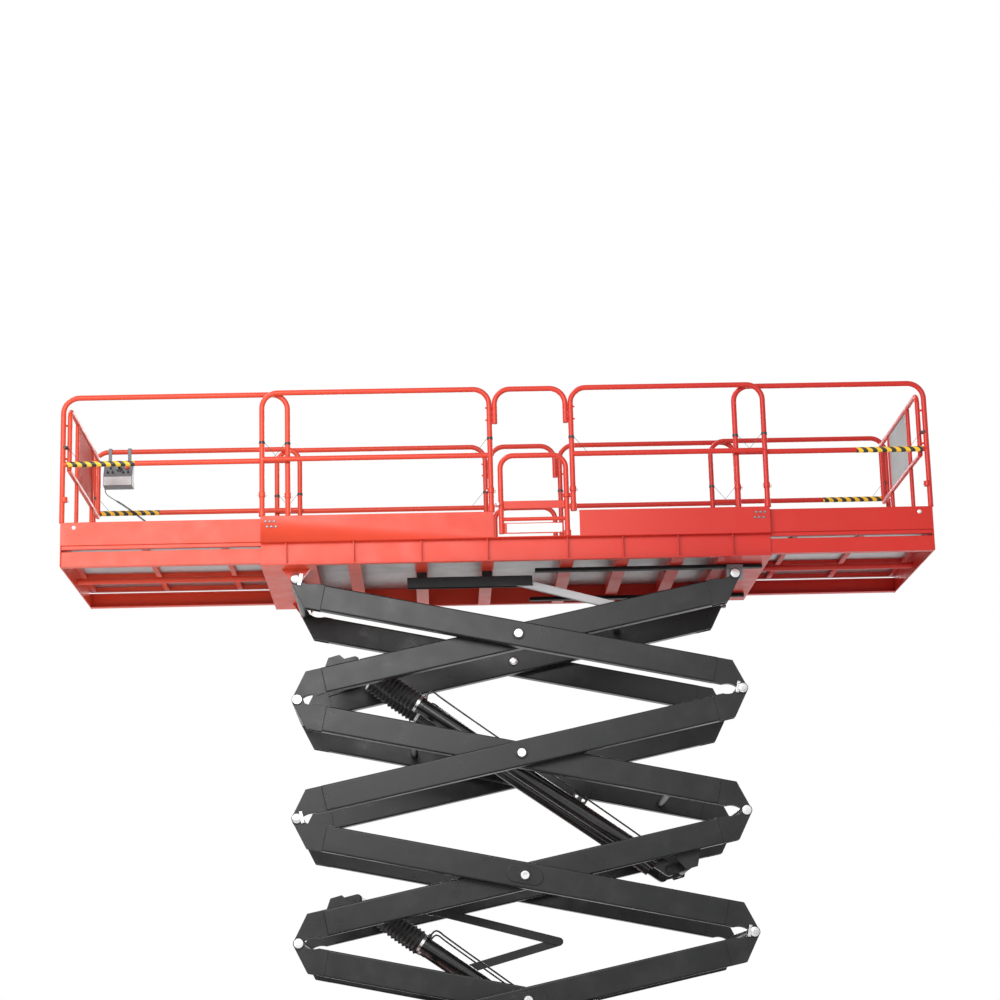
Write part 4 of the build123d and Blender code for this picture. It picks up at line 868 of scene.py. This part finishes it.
class LIFT_OT_deck_fasteners(bpy.types.Operator):
    """Bolts at the ends of the toe boards and of the extensions, and a round cap near each far corner"""
    bl_idname = "lift.deck_fasteners"
    bl_label = "Deck fasteners"

    def execute(self, context):
        # two rows of three bolts, the lower row set in by the stagger
        first, pitch, stagger, toe_face, upper_row, drop = 0.040, 0.034, 0.012, 0.915, 0.345, 0.042
        bolts = []
        for _, hand in SIDES:
            for end_x, inward in zip(DECK_ENDS, (1, -1)):
                for column in range(3):
                    for row in range(2):
                        inset = first + pitch * column + stagger * row
                        place = (end_x + inward * inset, hand * toe_face, DECK + upper_row - drop * row)
                        bolts.append(bolt_head(place, (0, hand, 0), 0.017))
        piece("toe_board_bolts", joined(bolts), "iron", "platform")
        cap = [(0, 0.016), (0.003, 0.016), (0.005, 0.013), (0.005, TIP)]
        for end, out in ENDS:
            low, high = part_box(f"{end}_deck")
            corner = low.x if out < 0 else high.x
            caps, heads = [], []
            for _, hand in SIDES:
                place = (corner - out * 0.105, hand * 0.867, DECK + 0.335)
                caps.append(turned(place, (0, hand, 0), cap, 28))
                for z in (0.060, 0.110, 0.260, 0.330):
                    heads.append(bolt_head((corner, hand * 0.760, DECK + z), (out, 0, 0), 0.014))
            piece(f"deck_caps_{end}", joined(caps), "zinc", f"{end}_extension")
            piece(f"end_bolts_{end}", joined(heads), "zinc", f"{end}_extension")
        return {"FINISHED"}


class LIFT_OT_control_box_fittings(bpy.types.Operator):
    """Pale strip, stop button, joystick and plain switches on the platform's control box"""
    bl_idname = "lift.control_box_fittings"
    bl_label = "Control box fittings"

    def execute(self, context):
        low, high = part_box("control_box")
        front, base, middle = low.y, low.z, (low.x + high.x) / 2
        strip = slab((low.x + 0.004, front - 0.004, base + 0.006), (high.x - 0.004, front, base + 0.080))
        piece("control_strip", strip, "pale", "front_extension", smooth=False, bevel=0.0015)
        # the sloped panel runs from the front edge up and back to the top edge
        edge = np.array((middle, front, base + 0.090))
        top = np.array((middle, front + 0.065, base + 0.200))
        slope = (top - edge) / np.linalg.norm(top - edge)
        out = np.array((0, -slope[2], slope[1]))

        def on_panel(across, along):
            """A place on the sloped panel, from the middle of its lower edge."""
            return edge + slope * along + np.array((across, 0, 0))

        toggle = [(0, 0.011), (0.004, 0.011), (0.004, 0.004), (0.020, 0.003), (0.023, 0.0045), (0.026, TIP)]
        grip = [(0, 0.026), (0.006, 0.024), (0.014, 0.010), (0.045, 0.008), (0.055, 0.015), (0.085, 0.016),
                (0.092, 0.010), (0.094, TIP)]
        button = [(0, 0.010), (0.008, 0.010), (0.008, 0.019), (0.014, 0.019), (0.018, 0.016), (0.020, TIP)]
        places = ((-0.085, 0.035), (-0.045, 0.035), (0.045, 0.035), (0.085, 0.035), (-0.065, 0.085))
        switches = [turned(on_panel(*place), out, toggle, 16) for place in places]
        switches.append(turned(on_panel(0.010, 0.070), out, grip, 24))
        piece("control_switches", joined(switches), "hose", "front_extension")
        piece("stop_button", turned(on_panel(0.075, 0.085), out, button, 28), "platform", "front_extension")
        return {"FINISHED"}


# ------------------------------------------------------------------ pins of the stack
# distance of an arm's end pins from its tube's middle line
PIN_OFFSET = 0.106
# distances from the machine's middle: the arms' outer faces, the inner ends of the centre pins, and the
# outer ends of the inner arms' end pins
ARM_FACES = {"outer": 0.750, "inner": 0.638}
PIN_INSIDE, INNER_HEAD = 0.530, 0.648


def tilted(shape, centre, lean):
    """A surface turned about a line across the machine through a centre."""
    points, faces = shape
    offset = np.asarray(points, float) - centre
    turned_x = offset[:, 0] * math.cos(lean) - offset[:, 2] * math.sin(lean)
    turned_z = offset[:, 0] * math.sin(lean) + offset[:, 2] * math.cos(lean)
    return np.stack([turned_x, offset[:, 1], turned_z], axis=1) + centre, faces


def layer_size():
    """The stack's span between its left and right pins at rest, and the rise of one layer."""
    span = joint_point("top_slider_pivot")[0] - joint_point("deck_pivot")[0]
    return span, joint_point("cross_1")[2] - joint_point("cross_2")[2]


def body_lean(number, kind):
    """How far an arm's body leans at rest, and half its length, from the pivots of its frame."""
    span, rise = layer_size()
    length = math.hypot(span, rise)
    offset = math.asin(2 * PIN_OFFSET / length)
    rising = (number % 2 == 0) == (kind == "outer")
    lean = (math.atan2(rise, span) - offset) * (1 if rising else -1)
    return lean, length / 2 * math.cos(offset)


class LIFT_OT_stack_pins(bpy.types.Operator):
    """Bright faces of the arms' pins, with a keeper plate on each end pin of the outer arms"""
    bl_idname = "lift.stack_pins"
    bl_label = "Stack pins"

    def execute(self, context):
        outside = [(-0.001, 0.034), (0.004, 0.034), (0.007, 0.031), (0.007, 0.012), (0.002, 0.010),
                   (0.002, TIP)]
        inside = [(-0.001, 0.034), (0.004, 0.034), (0.006, 0.031), (0.006, 0.010), (0.002, 0.008),
                  (0.002, TIP)]
        for number in LAYERS:
            low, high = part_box(f"outer_arm_{number}")
            face = (high.y - low.y) / 2
            cross = joint_point(f"cross_{number}")
            lean, _ = body_lean(number, "outer")
            ends = self.end_pins(number)
            shapes = []
            for _, hand in SIDES:
                shapes.append(turned(cross + sideways(hand * face), (0, hand, 0), outside, 32))
                shapes.append(turned(cross + sideways(hand * PIN_INSIDE), (0, -hand, 0), inside, 32))
                for end in ends:
                    shapes += self.keeper(end + sideways(hand * face), hand, cross, lean)
            piece(f"pin_heads_{number}", joined(shapes), "steel", f"outer_frame_{number}")
            self.inner_heads(number)
        return {"FINISHED"}

    def end_pins(self, number):
        """Where the pins at the ends of an outer arm stand at rest."""
        names = {LAYERS[0]: ["deck_pivot"], LAYERS[-1]: ["base_slider_pivot"]}.get(number, [])
        if number < LAYERS[-1]:
            names = [*names, f"knee_{'left' if number % 2 == 0 else 'right'}_{number}"]
        return [joint_point(name) for name in names]

    def inner_heads(self, number):
        """Thin bright faces on the inner frame's end pins, which the outer arms pass closely."""
        x = joint_point("top_slider_pivot" if number % 2 else "deck_pivot")[0]
        z = joint_point("top_slider_pivot")[2] - layer_size()[1] * (number - 1)
        face = [(-0.001, 0.036), (0.0004, 0.036), (0.0006, 0.034), (0.0006, TIP)]
        shapes = [turned((x, hand * INNER_HEAD, z), (0, hand, 0), face, 32) for _, hand in SIDES]
        piece(f"inner_heads_{number}", joined(shapes), "steel", f"inner_frame_{number}")

    def keeper(self, head, hand, cross, lean):
        """A pin's turned face, the plate that stops it turning, and the plate's two bolts."""
        inward = 1 if cross[0] > head[0] else -1
        face = [(-0.001, 0.037), (0.003, 0.037), (0.005, 0.034), (0.005, 0.009), (0.001, 0.007),
                (0.001, TIP)]
        disc = turned(head, (0, hand, 0), face, 32)
        # the plate, before it leans with its arm
        near, far, tall, proud = 0.026, 0.050, 0.045, 0.009
        plate = slab(head + np.array([inward * near, -hand * 0.002, -tall]),
                     head + np.array([inward * far, hand * proud, tall]))
        bolts = []
        for height in (-0.033, 0.033):
            across = inward * (near + far) / 2
            place = head + np.array([across * math.cos(lean) - height * math.sin(lean), hand * proud,
                                     across * math.sin(lean) + height * math.cos(lean)])
            bolts.append(bolt_head(place, (0, hand, 0), 0.016))
        return [disc, tilted(plate, head, lean), *bolts]


class LIFT_OT_arm_seams(bpy.types.Operator):
    """The weld seams where each arm's end plates meet its tube"""
    bl_idname = "lift.arm_seams"
    bl_label = "Arm seams"

    def execute(self, context):
        setback, half_seam = 0.235, 0.086
        run = np.linspace(-half_seam, half_seam, 33)[:, None]
        ripple = 0.0006 * np.sin(run * 700)
        for number in LAYERS:
            cross = joint_point(f"cross_{number}")
            for kind, face in ARM_FACES.items():
                lean, half = body_lean(number, kind)
                along = np.array([math.cos(lean), 0, math.sin(lean)])
                square = np.array([-math.sin(lean), 0, math.cos(lean)])
                seams = []
                for _, hand in SIDES:
                    for end in (-1, 1):
                        place = cross + along * end * (half - setback) + sideways(hand * face)
                        seams.append(tube(place + square * run + along * ripple, 0.003, 8))
                piece(f"weld_seams_{kind}_{number}", joined(seams), "stack", f"{kind}_frame_{number}")
        return {"FINISHED"}


# ------------------------------------------------------------------ modules, outriggers and valve blocks
class LIFT_OT_module_fittings(bpy.types.Operator):
    """Latches and louvres on the lids, the tank's cap, and the ground controls without any words"""
    bl_idname = "lift.module_fittings"
    bl_label = "Module fittings"

    def execute(self, context):
        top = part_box("lid_near")[1].z - 0.011
        tank_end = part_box("modules")[1].x
        # louvres down from a lid's top; distances of the outer wall and the caps from the middle
        first_row, pitch = 0.125, 0.026
        wall, cap_lane = 1.120, 1.00
        cap = [(0, 0.042), (0.010, 0.042), (0.010, 0.036), (0.030, 0.036), (0.034, 0.031), (0.034, TIP)]
        for side, hand in SIDES:
            low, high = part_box(f"lid_{side}")
            face = hand * max(abs(low.y), abs(high.y))
            mid = (low.x + high.x) / 2
            slats = [self.louvre(mid + bank, face, hand, high.z - first_row - pitch * row)
                     for bank in (-0.17, 0.17) for row in range(7)]
            piece(f"louvres_{side}", joined(slats), "platform", f"compartment_lid_{side}",
                  smooth=False)
            latch = [self.plate(mid - 0.055, mid + 0.055, face, hand, 0.004, low.z + 0.050, low.z + 0.110),
                     self.plate(mid - 0.040, mid + 0.040, face, hand, 0.009, low.z + 0.066, low.z + 0.094)]
            piece(f"lid_latch_{side}", joined(latch), "zinc", f"compartment_lid_{side}",
                  smooth=False, bevel=0.0015)
            place = (tank_end - 0.12, hand * cap_lane, top)
            piece(f"tank_cap_{side}", turned(place, (0, 0, 1), cap, 28), "hose", "base")
            if side == "near":
                self.ground_controls(tank_end - 0.33, hand * wall, hand)
        return {"FINISHED"}

    def plate(self, x0, x1, face, hand, proud, z0, z1):
        """A thin plate that stands proud of an outer face."""
        y0, y1 = sorted((face - hand * 0.001, face + hand * proud))
        return slab((x0, y0, z0), (x1, y1, z1))

    def louvre(self, middle, face, hand, height):
        """A pressed louvre: a wedge with a level foot and a slope that runs out at its top."""
        x0, x1 = middle - 0.110, middle + 0.110
        lip, top = face + hand * 0.006, height + 0.018
        points = [(x0, face, height), (x1, face, height), (x1, lip, height), (x0, lip, height),
                  (x0, face, top), (x1, face, top)]
        faces = [(0, 1, 2, 3), (3, 2, 5, 4), (0, 3, 4), (1, 5, 2), (0, 4, 5, 1)]
        if hand > 0:
            faces = [corners[::-1] for corners in faces]
        return np.array(points, float), faces

    def ground_controls(self, x0, wall, hand):
        """A pale board with three knobs and a stop button."""
        thick = 0.004
        board = self.plate(x0, x0 + 0.26, wall, hand, thick, 0.50, 0.70)
        piece("ground_board", board, "pale", "base", smooth=False, bevel=0.001)
        face = wall + hand * thick
        knob = [(0, 0.014), (0.005, 0.014), (0.005, 0.008), (0.018, 0.007), (0.020, TIP)]
        knobs = [turned((x0 + 0.045 + 0.055 * column, face, 0.56), (0, hand, 0), knob, 18)
                 for column in range(3)]
        piece("ground_switches", joined(knobs), "hose", "base")
        button = [(0, 0.012), (0.006, 0.012), (0.006, 0.020), (0.014, 0.018), (0.017, TIP)]
        piece("ground_stop", turned((x0 + 0.21, face, 0.64), (0, hand, 0), button, 26), "platform", "base")


class LIFT_OT_outrigger_fittings(bpy.types.Operator):
    """Cap bolts and steel pipe of each outrigger"""
    bl_idname = "lift.outrigger_fittings"
    bl_label = "Outrigger fittings"

    def execute(self, context):
        # heights of the end beams and of the jacks' tops, with their distances from the middle
        beam_top, beam_lane = 0.690, 0.55
        jack_top, jack_lane = 0.880, 0.985
        bolt_circle = 0.030
        bolts, pipes = [], []
        for end, out in ENDS:
            for side, hand in SIDES:
                low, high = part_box(f"outrigger_{end}_{side}")
                x, y = (low.x + high.x) / 2, hand * jack_lane
                for turn in np.arange(4) * math.pi / 2 + math.pi / 4:
                    place = (x + bolt_circle * math.cos(turn), y + bolt_circle * math.sin(turn), jack_top)
                    bolts.append(bolt_head(place, (0, 0, 1), 0.014))
                stand = [(x - out * 0.045, y - hand * 0.075, jack_top - 0.060),
                         (x - out * 0.060, y - hand * 0.150, jack_top - 0.062),
                         (x - out * 0.075, y - hand * 0.280, jack_top - 0.100),
                         (x - out * 0.090, hand * (beam_lane + 0.02), beam_top + 0.060),
                         (x - out * 0.095, hand * beam_lane, beam_top - 0.002)]
                pipes.append(tube(even_steps(smooth_route("outrigger_pipe", stand), 0.012)[0], 0.008, 10))
        piece("outrigger_bolts", joined(bolts), "zinc", "base")
        piece("outrigger_pipes", joined(pipes), "iron", "base")
        return {"FINISHED"}


class LIFT_OT_cylinder_blocks(bpy.types.Operator):
    """Valve block with its plugs on each barrel of the lift cylinders"""
    bl_idname = "lift.cylinder_blocks"
    bl_label = "Cylinder blocks"

    def execute(self, context):
        # from the rod's eye along the barrel, and off its axis
        reach, length, half_width, foot, head_height = 2.02, 0.120, 0.032, 0.056, 0.098
        for level in LEVELS:
            head, aim, square = cylinder_line(level)
            lean = math.atan2(aim[2], aim[0])
            blocks, plugs = [], []
            for _, hand in SIDES:
                eye = head + sideways(hand * CYLINDER_LANE)
                low = eye + np.array([reach, -half_width, foot])
                high = eye + np.array([reach + length, half_width, head_height])
                blocks.append(tilted(slab(low, high), eye, lean))
                for step in (0.030, 0.090):
                    place = eye + aim * (reach + step) + square * (foot + head_height) / 2
                    plugs.append(bolt_head(place + sideways(-half_width), (0, -1, 0), 0.022))
            piece(f"valve_block_{level}", joined(blocks), "cylinder", f"lift_barrels_{level}",
                  smooth=False, bevel=0.002)
            piece(f"valve_plugs_{level}", joined(plugs), "zinc", f"lift_barrels_{level}")
        return {"FINISHED"}


# ------------------------------------------------------------------ stage
class LIFT_OT_stage(bpy.types.Operator):
    """Plain pale floor, white surroundings and soft lamps"""
    bl_idname = "lift.stage"
    bl_label = "Stage"

    def execute(self, context):
        values = settings("stage")
        reach = 60.0
        mesh = bpy.data.meshes.new("floor")
        mesh.from_pydata([(-reach, -reach, 0), (reach, -reach, 0), (reach, reach, 0), (-reach, reach, 0)],
                         [], [(0, 1, 2, 3)])
        floor = bpy.data.objects.new("floor", mesh)
        context.scene.collection.objects.link(floor)
        mesh.materials.append(Shader("floor").finish(tuple(values.floor), 0.7))
        self.surroundings(context, values)
        for name, share, spread, travel in (("key", 1.0, 0.3, (0.50, -0.30, -0.81)),
                                            ("fill", 0.12, 1.0, (-0.2, 0.75, -0.6))):
            lamp = bpy.data.lights.new(name, "SUN")
            lamp.energy = values.key_strength * share
            lamp.angle = spread
            self.aimed(context, lamp, Vector((0, 0, 12)), Vector(travel))
        # two wide panels: one high in front towards the front end, a weaker one behind
        target = Vector((0, 0, 5.0))
        for name, share, spot in (("front_panel", 1.0, (-5.4, -15.5, 9.8)),
                                  ("back_panel", 0.5, (4.0, 15.5, 8.5))):
            lamp = bpy.data.lights.new(name, "AREA")
            lamp.shape = "RECTANGLE"
            lamp.size, lamp.size_y = 13.0, 7.0
            lamp.energy = values.panel_power * share * lamp.size * lamp.size_y
            place = Vector(spot)
            self.aimed(context, lamp, place, target - place).visible_camera = False
        context.scene.view_settings.view_transform = "Standard"
        return {"FINISHED"}

    def aimed(self, context, lamp, place, travel):
        """A lamp at a place, shining along travel."""
        made = bpy.data.objects.new(lamp.name, lamp)
        made.matrix_world = Matrix.Translation(place) @ travel.to_track_quat("-Z", "Y").to_matrix().to_4x4()
        context.scene.collection.objects.link(made)
        return made

    def surroundings(self, context, values):
        """White to the camera and in reflections, an even grey sky for everything else."""
        world = bpy.data.worlds.new("surroundings")
        context.scene.world = world
        world.use_nodes = True
        tree = world.node_tree
        tree.nodes.clear()
        path = tree.nodes.new("ShaderNodeLightPath")
        seen = path.outputs["Is Camera Ray"]
        for ray in ("Is Glossy Ray", "Is Transmission Ray"):
            either = tree.nodes.new("ShaderNodeMath")
            either.operation = "MAXIMUM"
            tree.links.new(seen, either.inputs[0])
            tree.links.new(path.outputs[ray], either.inputs[1])
            seen = either.outputs[0]
        mixed = tree.nodes.new("ShaderNodeMixShader")
        tree.links.new(seen, mixed.inputs[0])
        for target, colour, strength in ((mixed.inputs[1], (0.93, 0.96, 1.0, 1), values.sky_strength),
                                         (mixed.inputs[2], (1, 1, 1, 1), 1.0)):
            even = tree.nodes.new("ShaderNodeBackground")
            even.inputs["Color"].default_value = colour
            even.inputs["Strength"].default_value = strength
            tree.links.new(even.outputs[0], target)
        out = tree.nodes.new("ShaderNodeOutputWorld")
        tree.links.new(mixed.outputs[0], out.inputs["Surface"])


# ------------------------------------------------------------------ add-on
OPERATORS = (LIFT_OT_camera, LIFT_OT_finishes, LIFT_OT_control_cord, LIFT_OT_tyres, LIFT_OT_bellows,
             LIFT_OT_cylinder_pipes, LIFT_OT_hazard_sleeves, LIFT_OT_guard_meshes, LIFT_OT_rail_fittings,
             LIFT_OT_gate_plates, LIFT_OT_deck_fasteners, LIFT_OT_control_box_fittings, LIFT_OT_stack_pins,
             LIFT_OT_arm_seams, LIFT_OT_module_fittings, LIFT_OT_outrigger_fittings, LIFT_OT_cylinder_blocks,
             LIFT_OT_stage)


class LIFT_PT_panel(bpy.types.Panel):
    """Lists the lift's operators and settings"""
    bl_idname = "LIFT_PT_panel"
    bl_label = "Scissor lift"
    bl_space_type = "VIEW_3D"
    bl_region_type = "UI"
    bl_category = "Lift"

    def draw(self, context):
        for operator in OPERATORS:
            self.layout.operator(operator.bl_idname)
        for name, group in SETTINGS.items():
            box = self.layout.box()
            for field in group.__annotations__:
                box.prop(settings(name), field)


def register():
    """Makes the settings, operators and panel known to Blender."""
    for group in SETTINGS.values():
        bpy.utils.register_class(group)
    for operator in (*OPERATORS, LIFT_PT_panel):
        bpy.utils.register_class(operator)
    for name, group in SETTINGS.items():
        setattr(bpy.types.Scene, f"lift_{name}", bpy.props.PointerProperty(type=group))


def unregister():
    """Takes back what register made, in reverse order."""
    for name in SETTINGS:
        delattr(bpy.types.Scene, f"lift_{name}")
    for operator in reversed((*OPERATORS, LIFT_PT_panel)):
        bpy.utils.unregister_class(operator)
    for group in reversed(list(SETTINGS.values())):
        bpy.utils.unregister_class(group)


def main():
    """Calls every operator in order."""
    register()
    for operator in OPERATORS:
        family, name = operator.bl_idname.split(".")
        getattr(getattr(bpy.ops, family), name)()
    bpy.context.view_layer.update()


if __name__ == "__main__":
    main()
